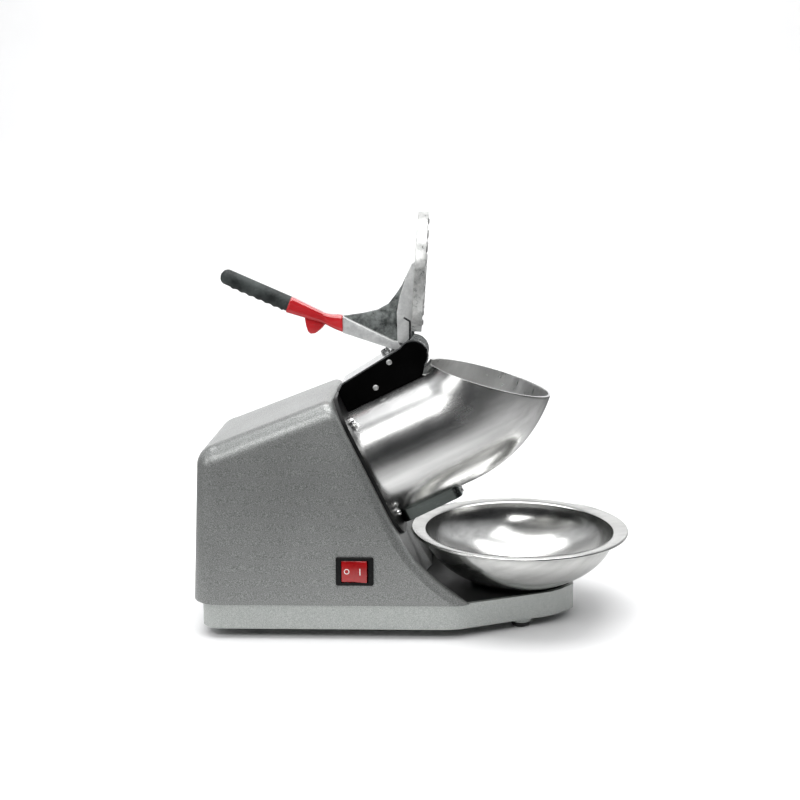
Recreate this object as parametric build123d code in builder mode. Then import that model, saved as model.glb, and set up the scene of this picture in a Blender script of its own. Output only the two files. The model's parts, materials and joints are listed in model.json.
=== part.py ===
"""Counter-top shaved ice machine: inclined direct-drive cutter, swing-over press lever and a loose bowl."""

from build123d import *
from math import cos, radians, sin, tan
import os

os.makedirs("parts", exist_ok=True)

# ---------------------------------------------------------------- driving dimensions (mm, degrees)
# The row frame: +X towards the bowl, -Y the switch side, +Z up, z = 0 on the floor, x = 0 under the pivot.

# The lever's pivot, from which the upper parts take their heights
pivot_height = 281.5


def over_pivot(x, rise):
    """A point of the side view, given by its height over the pivot."""
    return (x, pivot_height + rise)


# Base pan
foot_height = 11.0
pan_height = 26.0
pan_half_width = 90.0
pan_rear = -215.5
pan_bend = 42.0
pan_nose = 169.0
pan_shoulder = 22.0
pan_shoulder_half_width = 46.0
pan_nose_half_width = 22.0
pan_wall = 4.0
pan_corner = 20.0
deck_thickness = 3.0
lip_height = 2.5
mat_thickness = 1.5
mat_rear = 4.0
hatch_rear, hatch_front, hatch_half_width = -168.0, -30.0, 52.0
hatch_lap = 8.0
bottom_plate_thickness = 1.5
foot_radius = 11.5
foot_tip_radius = 9.5
foot_tip_height = 5.0
front_foot = (112.0, 44.0)
rear_foot = (-195.0, 50.0)

# Housing
housing_rear = -225.0
housing_half_width = 92.5
housing_wall = 3.0
housing_draft = 3.0
housing_corner = 28.0
housing_top_fillet = 22.0
housing_face_fillet = 9.0
housing_top_slope = 21.3
housing_top_front = pivot_height - 37.5
face_setback = 4.0
sweep_start_drop = 55.0
sweep_foot = 58.0
recess_radius = 96.0
recess_flare = 20.0
lug_size = 12.0
lug_height = 14.0
base_screw_radius = 2.0
base_screw_head_radius = 4.0

# Cutter axis, hopper and lever pivot
tilt = 26.0
sweep_radius = 83.5
tube_length = 86.0
tube_radius = 66.0
tube_wall = 2.5
rim_drop = 5.0
rim_slope = 15.2
lever_slot_half_width = 18.0
snow_slot_start, snow_slot_length, snow_slot_half_width = 6.0, 50.0, 24.0
skirt_length = 68.0
skirt_half_width = 30.0
skirt_wall = 2.0
skirt_reach = 5.0
skirt_screw_head_radius = 2.4
ear_reach = 9.0
ear_angle = 42.0
hopper_screw_head_radius = 3.8
gasket_half_width = 75.0
gasket_up, gasket_down = 82.0, 76.0
gasket_corner = 34.0
face_opening_radius = 52.0
pocket_clearance = 2.0

# Hinge bracket
bracket_half_width = 25.0
bracket_wall = 2.5
bracket_end_radius = 16.0
bracket_rear_height = 84.0
bracket_top_rear = (7.0, 89.5)
bracket_strap_end = 66.0
bracket_foot_gap = 21.0
bracket_gap = 0.3
bracket_top_angle = 6.0
cover_wall = 3.0
cover_margin = 1.5
cover_foot_gap = 22.4
rivet_radius = 2.8
rivet_points = (over_pivot(-24.5, -6.7), over_pivot(-38.3, -33.0))
pin_radius = 5.0
running_clearance = 0.04
stop_screw_radius = 2.5
stop_screw_head_radius = 4.5
stop_screw_station = 60.0
stop_screw_gap = 0.1
bracket_screw_head_radius = 4.0

# Lever, plate and handle (angles are from +X towards +Z, with the lever resting open)
plate_angle = 86.5
plate_radius = 61.5
plate_thickness = 7.0
plate_rim_width = 3.5
plate_rim_height = 4.0
tooth_height = 5.0
tooth_base = 8.0
tooth_pitch = 13.0
tooth_taper = 30.0
plate_screw_radius = 2.5
plate_screw_head_radius = 5.0
plate_screw_places = (-38.0, -12.0)
plate_screw_length = 5.0
hub_radius = 11.0
hub_half_width = 14.0
arm_half_width = 9.0
web_half_width = 2.5
web_hole = over_pivot(-16.5, 28.5)
web_brow, web_shoulder = over_pivot(-37.0, 44.5), over_pivot(-12.0, 69.5)
arm_root_under = over_pivot(-14.0, 1.5)
arm_root_over = over_pivot(-20.0, 12.5)
arm_end_under, arm_end_over = over_pivot(-73.0, 21.0), over_pivot(-73.0, 38.0)
rib_root = over_pivot(-17.0, 18.5)
rib_top_reach = 95.0
core_radius = 5.0
arm_end = over_pivot(-73.0, 30.0)
sleeve_end = over_pivot(-129.0, 50.2)
grip_end = over_pivot(-199.0, 81.0)
sleeve_width, sleeve_height = 20.0, 18.0
sleeve_corner = 6.0
grip_radius = 9.0
grip_core_depth = 60.0
thumb_lug_station = 25.0
thumb_lug_length, thumb_lug_width, thumb_lug_drop = 17.0, 8.0, 11.5
spring_wire_radius = 1.0
spring_coil_radius = 8.0
spring_pitch = 2.3
spring_turns = 2
spring_leg = ((-12.0, 0.0), (-12.0, 14.0), (-3.4, 24.0), (-3.4, 42.0), (-9.0, 45.5))
spring_tail = 13.0

# Motor and cutter (stations run along the cutter axis, 0 on the gasket's front face)
face_plate_thickness = 4.0
face_plate_radius = 60.0
motor_radius = 46.0
casing_wall = 4.0
motor_bolt_radius = 2.0
bolt_boss_radius = 5.0
front_bell_length = 18.0
casing_length = 72.0
rear_bell_length = 18.0
bearing_radius = 16.0
bearing_width = 10.0
shaft_radius = 6.0
shaft_front = 76.0
stator_bore_radius = 24.0
air_gap = 0.5
stack_length = 52.0
winding_length = 8.0
fan_radius = 40.0
fan_blades = 8
fan_gap = 3.0
fan_width = 12.0
disc_station = 60.0
disc_thickness = 5.0
disc_radius = 61.0
disc_hub_radius = 14.0
disc_hub_length = 10.0
blade_length, blade_width, blade_thickness = 42.0, 15.0, 2.0
blade_offset = 34.0
blade_slot_width = 7.0
blade_edge_reach = 1.5
blade_screw_radius = 2.0
nut_radius = 9.0
nut_height = 9.0
seal_radius = 11.0

# Switch on the -Y side
switch_x, switch_z = -57.8, 72.7
bezel_width, bezel_height = 38.0, 29.0
bezel_lip = 2.0
switch_body_margin = 1.5
switch_depth = 22.0
rocker_width, rocker_height = 26.0, 22.0
rocker_clearance = 0.8
rocker_face_height = 1.5
rocker_pivot_depth = 2.0
rocker_half_travel = 7.0
rocker_pin_radius = 1.5
rocker_pin_length = 1.5
rocker_well_depth = 13.0
terminal_tab = (6.0, 0.8, 9.0)

# Electrics in the housing
gland_y, gland_z = 40.0, 62.0
gland_radius, gland_bore_radius, gland_length = 8.0, 3.6, 22.0
gland_flange = 4.0
capacitor_radius, capacitor_length = 17.0, 56.0
capacitor_x, capacitor_y = -105.0, -24.0
clamp_wall, clamp_foot, clamp_width = 1.2, 9.0, 12.0
terminal_x, terminal_y = -70.0, 20.0

# Bowl
bowl_x = 112.0
bowl_rim_radius = 115.0
bowl_mouth_radius = 101.0
bowl_foot_radius = 46.0
bowl_height = 58.0
bowl_wall = 1.2
bowl_lip_rise = 3.5
bowl_bead_radius = 1.6

# ---------------------------------------------------------------- derived places
pan_bottom = foot_height
pan_top = pan_bottom + pan_height
deck_top = pan_top - lip_height
deck_bottom = deck_top - deck_thickness
mat_top = deck_top + mat_thickness
lug_y = pan_half_width - pan_wall - base_screw_head_radius - 0.5

along = Vector(cos(radians(tilt)), 0, sin(radians(tilt)))
upward = Vector(-sin(radians(tilt)), 0, cos(radians(tilt)))
pivot = Vector(0, 0, pivot_height)
elbow_foot = pivot - upward * sweep_radius
face_centre = elbow_foot - along * tube_length
# Local x is +Y, local y runs up the hopper's mouth, and the normal is the cutter axis.
tube_plane = Plane(origin=face_centre, x_dir=(0, 1, 0), z_dir=along)
# Local x runs along the cutter axis and local y up from it, seen from the switch side.
side_plane = Plane(origin=face_centre, x_dir=along, z_dir=(0, -1, 0))

face_station = -face_setback
face_wall_back = face_station - housing_wall
bell_front = face_wall_back - face_plate_thickness
casing_front = bell_front - front_bell_length
casing_back = casing_front - casing_length
bell_back = casing_back - rear_bell_length
switch_wall_y = housing_half_width - (switch_z - pan_top) * tan(radians(housing_draft))
switch_up = Vector(0, sin(radians(housing_draft)), cos(radians(housing_draft)))
switch_plane = Plane(
    origin=(switch_x, -switch_wall_y, switch_z),
    x_dir=(1, 0, 0),
    z_dir=(0, -cos(radians(housing_draft)), sin(radians(housing_draft))),
)
gland_plane = Plane(
    origin=(housing_rear + (gland_z - pan_top) * tan(radians(housing_draft)), gland_y, gland_z),
    x_dir=(0, 1, 0),
    z_dir=(cos(radians(housing_draft)), 0, -sin(radians(housing_draft))),
)
fan_front = bell_back - fan_gap
fan_back = fan_front - fan_width
plate_direction = Vector(cos(radians(plate_angle)), 0, sin(radians(plate_angle)))
plate_normal = Vector(sin(radians(plate_angle)), 0, -cos(radians(plate_angle)))
plate_plane = Plane(
    origin=pivot + plate_direction * sweep_radius - plate_normal * (plate_thickness / 2),
    x_dir=(0, 1, 0),
    z_dir=plate_normal,
)


def save(piece, name):
    """Label one finished piece and write it as its own file."""
    piece.part.label = name
    export_step(piece.part, f"parts/{name}.step")


def station(distance):
    """The plane across the cutter axis at a distance in front of the gasket's front face."""
    return tube_plane.offset(distance)


def pan_outline(inset):
    """The boat-shaped plan of the base pan, as a sketch on the current plane."""
    with BuildSketch(mode=Mode.PRIVATE) as outline:
        with BuildLine():
            Polyline(
                (pan_rear, -pan_half_width),
                (pan_bend, -pan_half_width),
                (pan_nose - pan_shoulder, -pan_shoulder_half_width),
                (pan_nose, -pan_nose_half_width),
                (pan_nose, pan_nose_half_width),
                (pan_nose - pan_shoulder, pan_shoulder_half_width),
                (pan_bend, pan_half_width),
                (pan_rear, pan_half_width),
                close=True,
            )
        make_face()
        for at, radius in (
            (pan_rear, pan_corner),
            (pan_bend, 3 * pan_corner),
            (pan_nose - pan_shoulder, 3 * pan_corner),
            (pan_nose, pan_corner / 3),
        ):
            fillet(outline.vertices().filter_by_position(Axis.X, at - 0.1, at + 0.1), radius)
        if inset:
            offset(amount=-inset, mode=Mode.REPLACE)
    return outline.sketch


def feet_places():
    """The four foot centres, front pair first."""
    return [(x, side * y) for x, y in (front_foot, rear_foot) for side in (-1, 1)]


def lug_places():
    """Centres of the housing's screw lugs, against the inside of its side walls."""
    return [(x, side * lug_y) for x in (pan_rear + 35, -25.0) for side in (-1, 1)]


# ---------------------------------------------------------------- base
with BuildPart() as base_pan:
    with BuildSketch(Plane.XY.offset(pan_bottom)):
        add(pan_outline(0))
    extrude(amount=pan_height)
    with BuildSketch(Plane.XY.offset(pan_bottom)):
        add(pan_outline(pan_wall))
    extrude(amount=deck_bottom - pan_bottom, mode=Mode.SUBTRACT)
    with BuildSketch(Plane.XY.offset(deck_top)):
        add(pan_outline(pan_wall))
    extrude(amount=lip_height, mode=Mode.SUBTRACT)
    with BuildSketch(Plane.XY.offset(deck_bottom)):
        with Locations(((hatch_rear + hatch_front) / 2, 0)):
            Rectangle(hatch_front - hatch_rear, 2 * hatch_half_width)
    extrude(amount=deck_thickness, mode=Mode.SUBTRACT)
    with BuildSketch(Plane.XY.offset(foot_tip_height)):
        with Locations(*feet_places()):
            Circle(foot_radius)
    extrude(amount=deck_bottom - foot_tip_height)
    with BuildSketch(Plane.XY.offset(deck_bottom)):
        with Locations(*lug_places()):
            Circle(base_screw_radius)
    extrude(amount=deck_thickness, mode=Mode.SUBTRACT)
    tips = base_pan.edges().filter_by(GeomType.CIRCLE).group_by(Axis.Z)[0]
    fillet(tips, foot_radius - foot_tip_radius)
save(base_pan, "base_pan")

with BuildPart() as rubber_feet:
    with BuildSketch(Plane.XY):
        with Locations(*feet_places()):
            Circle(foot_tip_radius)
    extrude(amount=foot_tip_height)
    fillet(rubber_feet.edges().group_by(Axis.Z)[0], foot_tip_height / 2)
save(rubber_feet, "rubber_feet")

with BuildPart() as bottom_plate:
    with BuildSketch(Plane.XY.offset(deck_bottom - bottom_plate_thickness)):
        with Locations(((hatch_rear + hatch_front) / 2, 0)):
            RectangleRounded(
                hatch_front - hatch_rear + 2 * hatch_lap, 2 * (hatch_half_width + hatch_lap), hatch_lap
            )
            with GridLocations(12, 1, 6, 1):
                SlotOverall(40, 4, rotation=90, mode=Mode.SUBTRACT)
    extrude(amount=bottom_plate_thickness)
save(bottom_plate, "bottom_plate")

with BuildPart() as bottom_plate_screws:
    with BuildSketch(Plane.XY.offset(deck_bottom - bottom_plate_thickness)):
        with Locations(((hatch_rear + hatch_front) / 2, 0)):
            with GridLocations(hatch_front - hatch_rear, 2 * hatch_half_width + hatch_lap, 2, 2):
                Circle(base_screw_head_radius)
    extrude(amount=-2)
    fillet(bottom_plate_screws.edges().group_by(Axis.Z)[0], 1.2)
save(bottom_plate_screws, "bottom_plate_screws")


# ---------------------------------------------------------------- housing
def is_on_rim(place, crown):
    """Whether an edge's middle lies on the outer rim of the housing's front, at a side or at the top."""
    return abs(place.Y) > housing_half_width / 2 or place.Z > crown.Z - housing_top_fillet / 2


def housing_block(inset):
    """The housing's solid form, shrunk by inset on every wall, and run on below the seam."""
    skirt = 12.0
    top_front = (housing_top_front - face_centre.Z) / upward.Z
    face_at = face_centre + along * face_station
    crown = face_at + upward * (top_front + face_setback * along.Z / upward.Z)
    turn = face_at - upward * sweep_start_drop
    back = housing_rear - 20
    back_height = crown.Z - (crown.X - back) * tan(radians(housing_top_slope))
    length = crown.X - housing_rear + 220
    with BuildPart() as block:
        with BuildSketch(Plane.XY.offset(pan_top)) as plan:
            with Locations((housing_rear + length / 2, 0)):
                RectangleRounded(
                    length - 2 * inset, 2 * (housing_half_width - inset), housing_corner - inset
                )
        extrude(amount=housing_top_front, taper=housing_draft)
        extrude(plan.sketch, amount=-skirt)
        with BuildSketch(Plane.XZ):
            with BuildLine():
                under = Polyline(
                    (sweep_foot, pan_top),
                    (sweep_foot, pan_top - skirt - 5),
                    (back, pan_top - skirt - 5),
                    (back, back_height),
                    (crown.X, crown.Z),
                    (turn.X, turn.Z),
                )
                TangentArc(under @ 1, (sweep_foot, pan_top), tangent=under % 1)
            make_face()
            if inset:
                offset(amount=-inset, mode=Mode.REPLACE)
        extrude(amount=2 * housing_half_width, both=True, mode=Mode.INTERSECT)
        roof = block.faces().sort_by(Axis.Z)[-1]
        fillet(roof.edges().sort_by(Axis.X)[:-1], housing_top_fillet - 2 * inset)
        if not inset:
            brow = block.faces().filter_by(lambda face: face.normal_at().dot(along) > 0.75)
            brow = brow.sort_by(SortBy.AREA)[-2:].edges()
            fillet(brow.filter_by(lambda edge: is_on_rim(edge.center(), crown)), housing_face_fillet)
        with BuildSketch(Plane.XY.offset(pan_top - skirt)):
            with Locations((bowl_x, 0)):
                Circle(recess_radius + inset)
        extrude(amount=turn.Z - pan_top + 4 * skirt, taper=-recess_flare, mode=Mode.SUBTRACT)
        with BuildSketch(station(face_station - inset)):
            with Locations((0, -gasket_down)):
                Rectangle(2 * (gasket_half_width + pocket_clearance + inset), 2 * gasket_down)
        extrude(amount=tube_length, mode=Mode.SUBTRACT)
        split(bisect_by=Plane.XY.offset(pan_top if not inset else pan_top - skirt / 2), keep=Keep.TOP)
    return block.part


with BuildPart() as housing:
    add(housing_block(0))
    add(housing_block(housing_wall), mode=Mode.SUBTRACT)
    with BuildSketch(station(face_wall_back - 1)):
        Circle(face_opening_radius)
    extrude(amount=housing_wall + 2, mode=Mode.SUBTRACT)
    with BuildSketch(switch_plane):
        Rectangle(bezel_width - 2 * switch_body_margin, bezel_height - 2 * switch_body_margin)
    extrude(amount=2 * housing_wall, both=True, mode=Mode.SUBTRACT)
    with BuildSketch(Plane(origin=(housing_rear - 1, 0, 118), x_dir=(0, -1, 0), z_dir=(1, 0, 0))):
        with GridLocations(1, 11, 1, 6):
            SlotOverall(84, 4)
    extrude(amount=30, mode=Mode.SUBTRACT)
    with BuildSketch(gland_plane):
        Circle(gland_radius - 2)
    extrude(amount=2 * housing_wall, both=True, mode=Mode.SUBTRACT)
    with BuildSketch(Plane.XY.offset(pan_top)):
        with Locations(*lug_places()):
            Rectangle(lug_size, 2 * (housing_half_width - housing_wall / 2 - lug_y))
            Circle(base_screw_radius, mode=Mode.SUBTRACT)
    extrude(amount=lug_height)
save(housing, "housing")

with BuildPart() as housing_screws:
    with BuildSketch(Plane.XY.offset(deck_bottom)):
        with Locations(*lug_places()):
            Circle(base_screw_head_radius)
    extrude(amount=-2.5)
    with BuildSketch(Plane.XY.offset(deck_bottom)):
        with Locations(*lug_places()):
            Circle(base_screw_radius)
    extrude(amount=pan_top - deck_bottom + lug_height)
save(housing_screws, "housing_screws")

with BuildPart() as tray_mat:
    with BuildSketch(Plane.XY.offset(deck_top)) as mat_plan:
        add(pan_outline(pan_wall + 0.5))
        with Locations((housing_rear, 0)):
            Rectangle(2 * (mat_rear - housing_rear), 3 * pan_half_width, mode=Mode.SUBTRACT)
        corners = mat_plan.vertices().group_by(Axis.X)[0]
        fillet(corners, 3)
    extrude(amount=mat_thickness)
save(tray_mat, "tray_mat")

# ---------------------------------------------------------------- hopper and its fittings
rim_point = pivot - Vector(sin(radians(rim_slope)), 0, cos(radians(rim_slope))) * rim_drop
rim_plane = Plane(
    origin=rim_point,
    x_dir=(0, 1, 0),
    z_dir=(sin(radians(rim_slope)), 0, cos(radians(rim_slope))),
)
elbow_axis = Axis(pivot, (0, -1, 0))
elbow_arc = 90 - tilt - rim_slope + 8
ear_angles = [side * ear_angle + base for base in (90, -90) for side in (-1, 1)]


def tube_run(radius, start, length):
    """A straight cylinder on the cutter axis, such as the lower run of the hopper."""
    with BuildSketch(station(start), mode=Mode.PRIVATE) as ring:
        Circle(radius)
    return extrude(ring.sketch, amount=length, mode=Mode.PRIVATE)


def elbow(radius):
    """The bent end of the hopper's path, turned about the lever's pivot."""
    with BuildSketch(station(tube_length), mode=Mode.PRIVATE) as ring:
        Circle(radius)
    return revolve(ring.sketch, axis=elbow_axis, revolution_arc=elbow_arc, mode=Mode.PRIVATE)


with BuildPart() as hopper:
    add(tube_run(tube_radius, 0, tube_length))
    with BuildSketch(tube_plane):
        Circle(tube_radius)
        for angle in ear_angles:
            with PolarLocations(tube_radius + ear_reach / 2 - 1, 1, start_angle=angle):
                Circle(ear_reach / 2 + 1.5)
    extrude(amount=tube_wall)
    add(elbow(tube_radius))
    add(tube_run(tube_radius - tube_wall, 0, tube_length), mode=Mode.SUBTRACT)
    add(elbow(tube_radius - tube_wall), mode=Mode.SUBTRACT)
    split(bisect_by=rim_plane, keep=Keep.BOTTOM)
    with BuildSketch(station(tube_length - plate_thickness / 2 - tooth_height - 4)):
        with Locations((0, sweep_radius)):
            Rectangle(2 * lever_slot_half_width, 2 * (sweep_radius - tube_radius) + 12)
    extrude(amount=2 * tube_radius, mode=Mode.SUBTRACT)
    with BuildSketch(Plane(origin=face_centre + along * snow_slot_start, x_dir=along, z_dir=upward)):
        with Locations((snow_slot_length / 2, 0)):
            RectangleRounded(snow_slot_length, 2 * snow_slot_half_width, 6)
    extrude(amount=-2 * tube_radius, mode=Mode.SUBTRACT)
save(hopper, "hopper")

with BuildPart() as hopper_screws:
    for angle in ear_angles:
        with BuildSketch(station(tube_wall)):
            with PolarLocations(tube_radius + ear_reach / 2 + 1, 1, start_angle=angle):
                Circle(hopper_screw_head_radius)
        extrude(amount=2.4)
    fillet(hopper_screws.edges().filter_by(GeomType.CIRCLE).group_by(Axis(face_centre, along))[-1], 1)
save(hopper_screws, "hopper_screws")

with BuildPart() as gasket:
    with BuildSketch(station(face_station)):
        with Locations((0, (gasket_up - gasket_down) / 2)):
            RectangleRounded(2 * gasket_half_width, gasket_up + gasket_down, gasket_corner)
        Circle(seal_radius, mode=Mode.SUBTRACT)
    extrude(amount=face_setback)
save(gasket, "gasket")

with BuildPart() as shaft_seal:
    with BuildSketch(station(face_station)):
        Circle(seal_radius)
        Circle(shaft_radius + running_clearance, mode=Mode.SUBTRACT)
    extrude(amount=face_setback + 2)
    fillet(shaft_seal.edges().filter_by(GeomType.CIRCLE).group_by(Axis(face_centre, along))[-1][-1:], 0.8)
save(shaft_seal, "shaft_seal")

with BuildPart() as outlet_skirt:
    with BuildSketch(Plane(origin=face_centre, x_dir=along, z_dir=upward)):
        with Locations((skirt_length / 2, 0)):
            RectangleRounded(skirt_length, 2 * skirt_half_width, 8)
            RectangleRounded(
                skirt_length - 2 * skirt_wall, 2 * (skirt_half_width - skirt_wall), 6, mode=Mode.SUBTRACT
            )
    extrude(amount=-tube_radius - skirt_reach)
    add(tube_run(tube_radius + running_clearance, -1, tube_length), mode=Mode.SUBTRACT)
save(outlet_skirt, "outlet_skirt")

with BuildPart() as skirt_screw:
    with BuildSketch(station(skirt_length)):
        with Locations((0, -tube_radius - skirt_reach / 2)):
            with GridLocations(skirt_half_width, 1, 2, 1):
                Circle(skirt_screw_head_radius)
    extrude(amount=2.5)
    fillet(skirt_screw.edges().filter_by(GeomType.CIRCLE).group_by(Axis(face_centre, along))[-1], 1)
save(skirt_screw, "skirt_screws")


# ---------------------------------------------------------------- hinge bracket
def cheek_outline(foot_gap, lower):
    """The bracket's cheek in the side plane; the covers stand lower along its top edge."""
    top_rise = tan(radians(bracket_top_angle))
    foot_line = sweep_radius - foot_gap
    rear_x, rear_y = bracket_top_rear
    with BuildSketch(mode=Mode.PRIVATE) as outline:
        Polygon(
            (0, foot_line),
            (0, bracket_rear_height - lower),
            (rear_x, rear_y - lower),
            (tube_length, rear_y - lower + (tube_length - rear_x) * top_rise),
            (tube_length + bracket_end_radius, sweep_radius),
            (tube_length, foot_line),
            align=None,
        )
        with Locations((tube_length, sweep_radius)):
            Circle(bracket_end_radius - lower)
    return outline.sketch


def rivet_plane(place, side):
    """The plane on a cover's outer face, looking outwards, at one rivet."""
    y = side * (bracket_half_width + cover_wall)
    return Plane(origin=(place[0], y, place[1]), x_dir=(1, 0, 0), z_dir=(0, side, 0))


pivot_plane = Plane(origin=pivot, x_dir=(1, 0, 0), z_dir=(0, 1, 0))
strap_run = stop_screw_station - bracket_top_rear[0]
strap_top_v = bracket_top_rear[1] + strap_run * tan(radians(bracket_top_angle))
strap_normal = upward * cos(radians(bracket_top_angle)) - along * sin(radians(bracket_top_angle))
stop_plane = Plane(
    origin=face_centre + along * stop_screw_station + upward * strap_top_v,
    x_dir=(0, 1, 0),
    z_dir=strap_normal,
)
rivet_shank_radius = rivet_radius / 2

with BuildPart() as hinge_bracket:
    with BuildSketch(side_plane):
        add(cheek_outline(bracket_foot_gap, 0))
    extrude(amount=bracket_half_width, both=True)
    with BuildSketch(side_plane):
        with Locations((bracket_wall, -bracket_wall)):
            add(cheek_outline(bracket_foot_gap, 0))
            add(cheek_outline(bracket_foot_gap + bracket_end_radius, 0))
        with Locations((bracket_strap_end + tube_length / 2, sweep_radius)):
            Rectangle(tube_length, tube_length)
    extrude(amount=bracket_half_width - bracket_wall, both=True, mode=Mode.SUBTRACT)
    add(tube_run(tube_radius + bracket_gap, 0, tube_length), mode=Mode.SUBTRACT)
    with BuildSketch(pivot_plane):
        Circle(pin_radius)
    extrude(amount=bracket_half_width, both=True, mode=Mode.SUBTRACT)
    for place in rivet_points:
        with BuildSketch(rivet_plane(place, 1)):
            Circle(rivet_shank_radius)
        extrude(amount=-2 * (bracket_half_width + cover_wall), mode=Mode.SUBTRACT)
    with BuildSketch(stop_plane):
        Circle(stop_screw_radius)
    extrude(amount=-3 * bracket_wall, mode=Mode.SUBTRACT)
save(hinge_bracket, "hinge_bracket")

for side, cover_name in ((-1, "bracket_cover_near"), (1, "bracket_cover_far")):
    with BuildPart() as bracket_cover:
        with BuildSketch(side_plane.offset(-side * bracket_half_width)):
            add(cheek_outline(cover_foot_gap, cover_margin))
        extrude(amount=-side * cover_wall)
        for place in rivet_points:
            with BuildSketch(rivet_plane(place, side)):
                Circle(rivet_shank_radius)
            extrude(amount=-cover_wall, mode=Mode.SUBTRACT)
    save(bracket_cover, cover_name)

with BuildPart() as cover_rivets:
    for side in (-1, 1):
        for place in rivet_points:
            with BuildSketch(rivet_plane(place, side)):
                Circle(rivet_radius)
            extrude(amount=1)
            with BuildSketch(rivet_plane(place, side)):
                Circle(rivet_shank_radius)
            extrude(amount=-cover_wall - bracket_wall)
save(cover_rivets, "cover_rivets")

with BuildPart() as pivot_pin:
    with BuildSketch(pivot_plane):
        Circle(pin_radius)
    extrude(amount=bracket_half_width, both=True)
save(pivot_pin, "pivot_pin")


def place_of(point):
    """An (x, z) place of the side view as a point on the mid-plane."""
    return Vector(point[0], 0, point[1])


sleeve_run = place_of(sleeve_end) - place_of(arm_end)
sleeve_plane = Plane(origin=place_of(arm_end), x_dir=(0, 1, 0), z_dir=sleeve_run)
sleeve_seat = Plane(origin=place_of(arm_end), z_dir=(-1, 0, 0))


def stop_reach():
    """How far the stop screw's head stands up from the strap to meet the resting lever."""
    root = place_of(arm_root_under)
    corner = stop_plane.origin - stop_plane.y_dir * stop_screw_head_radius
    across_arm = (place_of(arm_end_under) - root).normalized().cross(Vector(0, -1, 0))
    return abs((corner - root).dot(across_arm) / strap_normal.dot(across_arm)) - stop_screw_gap


with BuildPart() as stop_screw:
    with BuildSketch(stop_plane):
        Circle(stop_screw_head_radius)
    extrude(amount=stop_reach())
    with BuildSketch(stop_plane):
        Circle(stop_screw_radius)
    extrude(amount=-3 * bracket_wall)
save(stop_screw, "stop_screw")

with BuildPart() as bracket_screws:
    with BuildSketch(station(bracket_wall)):
        with Locations((-12, sweep_radius - 8), (12, sweep_radius - 8)):
            Circle(bracket_screw_head_radius)
    extrude(amount=2.4)
save(bracket_screws, "bracket_screws")


# ---------------------------------------------------------------- lever
grip_run = place_of(grip_end) - place_of(sleeve_end)
grip_plane = Plane(origin=place_of(sleeve_end), x_dir=(0, 1, 0), z_dir=grip_run)
mitre = Plane(
    origin=place_of(sleeve_end), x_dir=(0, 1, 0), z_dir=sleeve_run.normalized() + grip_run.normalized()
)
back_centre = pivot - plate_normal * (plate_thickness / 2)
plate_back = [back_centre + plate_direction * reach for reach in (0, rib_top_reach)]

with BuildPart() as lever_arm:
    with BuildSketch(pivot_plane):
        Circle(hub_radius)
    extrude(amount=hub_half_width, both=True)
    with BuildSketch(Plane.XZ):
        Polygon(
            (0, pivot_height - hub_radius / 2),
            arm_root_under,
            arm_end_under,
            arm_end_over,
            arm_root_over,
            (0, pivot_height + hub_radius - 1),
            align=None,
        )
        Polygon(
            (plate_back[0].X - 5, pivot_height),
            rib_root,
            (plate_back[1].X - 4, plate_back[1].Z - 3),
            (plate_back[1].X, plate_back[1].Z),
            (plate_back[0].X, plate_back[0].Z),
            align=None,
        )
    extrude(amount=arm_half_width, both=True)
    with BuildSketch(Plane.XZ):
        with BuildLine():
            brow_line = Line(arm_end_over, web_brow)
            TangentArc(brow_line @ 1, web_shoulder, tangent=brow_line % 1)
            Polyline(
                web_shoulder,
                (plate_back[1].X - 2, plate_back[1].Z),
                (plate_back[0].X, pivot_height),
                arm_root_over,
                arm_end_over,
            )
        make_face()
        with Locations(web_hole):
            Circle(2, mode=Mode.SUBTRACT)
    extrude(amount=web_half_width, both=True)
    with BuildSketch(sleeve_plane.offset(-2)):
        Circle(core_radius)
    extrude(amount=sleeve_run.length + 2)
    with BuildSketch(grip_plane):
        Circle(core_radius)
    extrude(amount=grip_core_depth)
    with Locations(place_of(sleeve_end)):
        Sphere(core_radius)
    with BuildSketch(pivot_plane):
        Circle(pin_radius + running_clearance)
    extrude(amount=hub_half_width, both=True, mode=Mode.SUBTRACT)
    with BuildSketch(plate_plane):
        with Locations(*[(0, place) for place in plate_screw_places]):
            Circle(plate_screw_radius)
    extrude(amount=-plate_screw_length, mode=Mode.SUBTRACT)
save(lever_arm, "lever_arm")

tooth_count = int(2 * plate_radius / tooth_pitch)
tooth_line = [(index - (tooth_count - 1) / 2) * tooth_pitch for index in range(tooth_count)]


def tooth_fits(x, y):
    """Whether a tooth stands inside the plate's edge and clear of the screw heads."""
    inside = (x * x + y * y) ** 0.5 < plate_radius - tooth_base * 0.8
    clear = abs(x) > plate_screw_head_radius + tooth_base / 2 or min(
        abs(y - place) for place in plate_screw_places
    ) > plate_screw_head_radius + tooth_base / 2
    return inside and clear


with BuildPart() as press_plate:
    with BuildSketch(plate_plane):
        Circle(plate_radius)
        with Locations(*[(0, place) for place in plate_screw_places]):
            Circle(plate_screw_radius, mode=Mode.SUBTRACT)
    extrude(amount=plate_thickness)
    with BuildSketch(plate_plane.offset(plate_thickness)):
        Circle(plate_radius)
        Circle(plate_radius - plate_rim_width, mode=Mode.SUBTRACT)
    extrude(amount=plate_rim_height)
    with BuildSketch(plate_plane.offset(plate_thickness)):
        with Locations(*[(x, y) for x in tooth_line for y in tooth_line if tooth_fits(x, y)]):
            Rectangle(tooth_base, tooth_base)
    extrude(amount=tooth_height, taper=tooth_taper)
save(press_plate, "press_plate")

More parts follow.
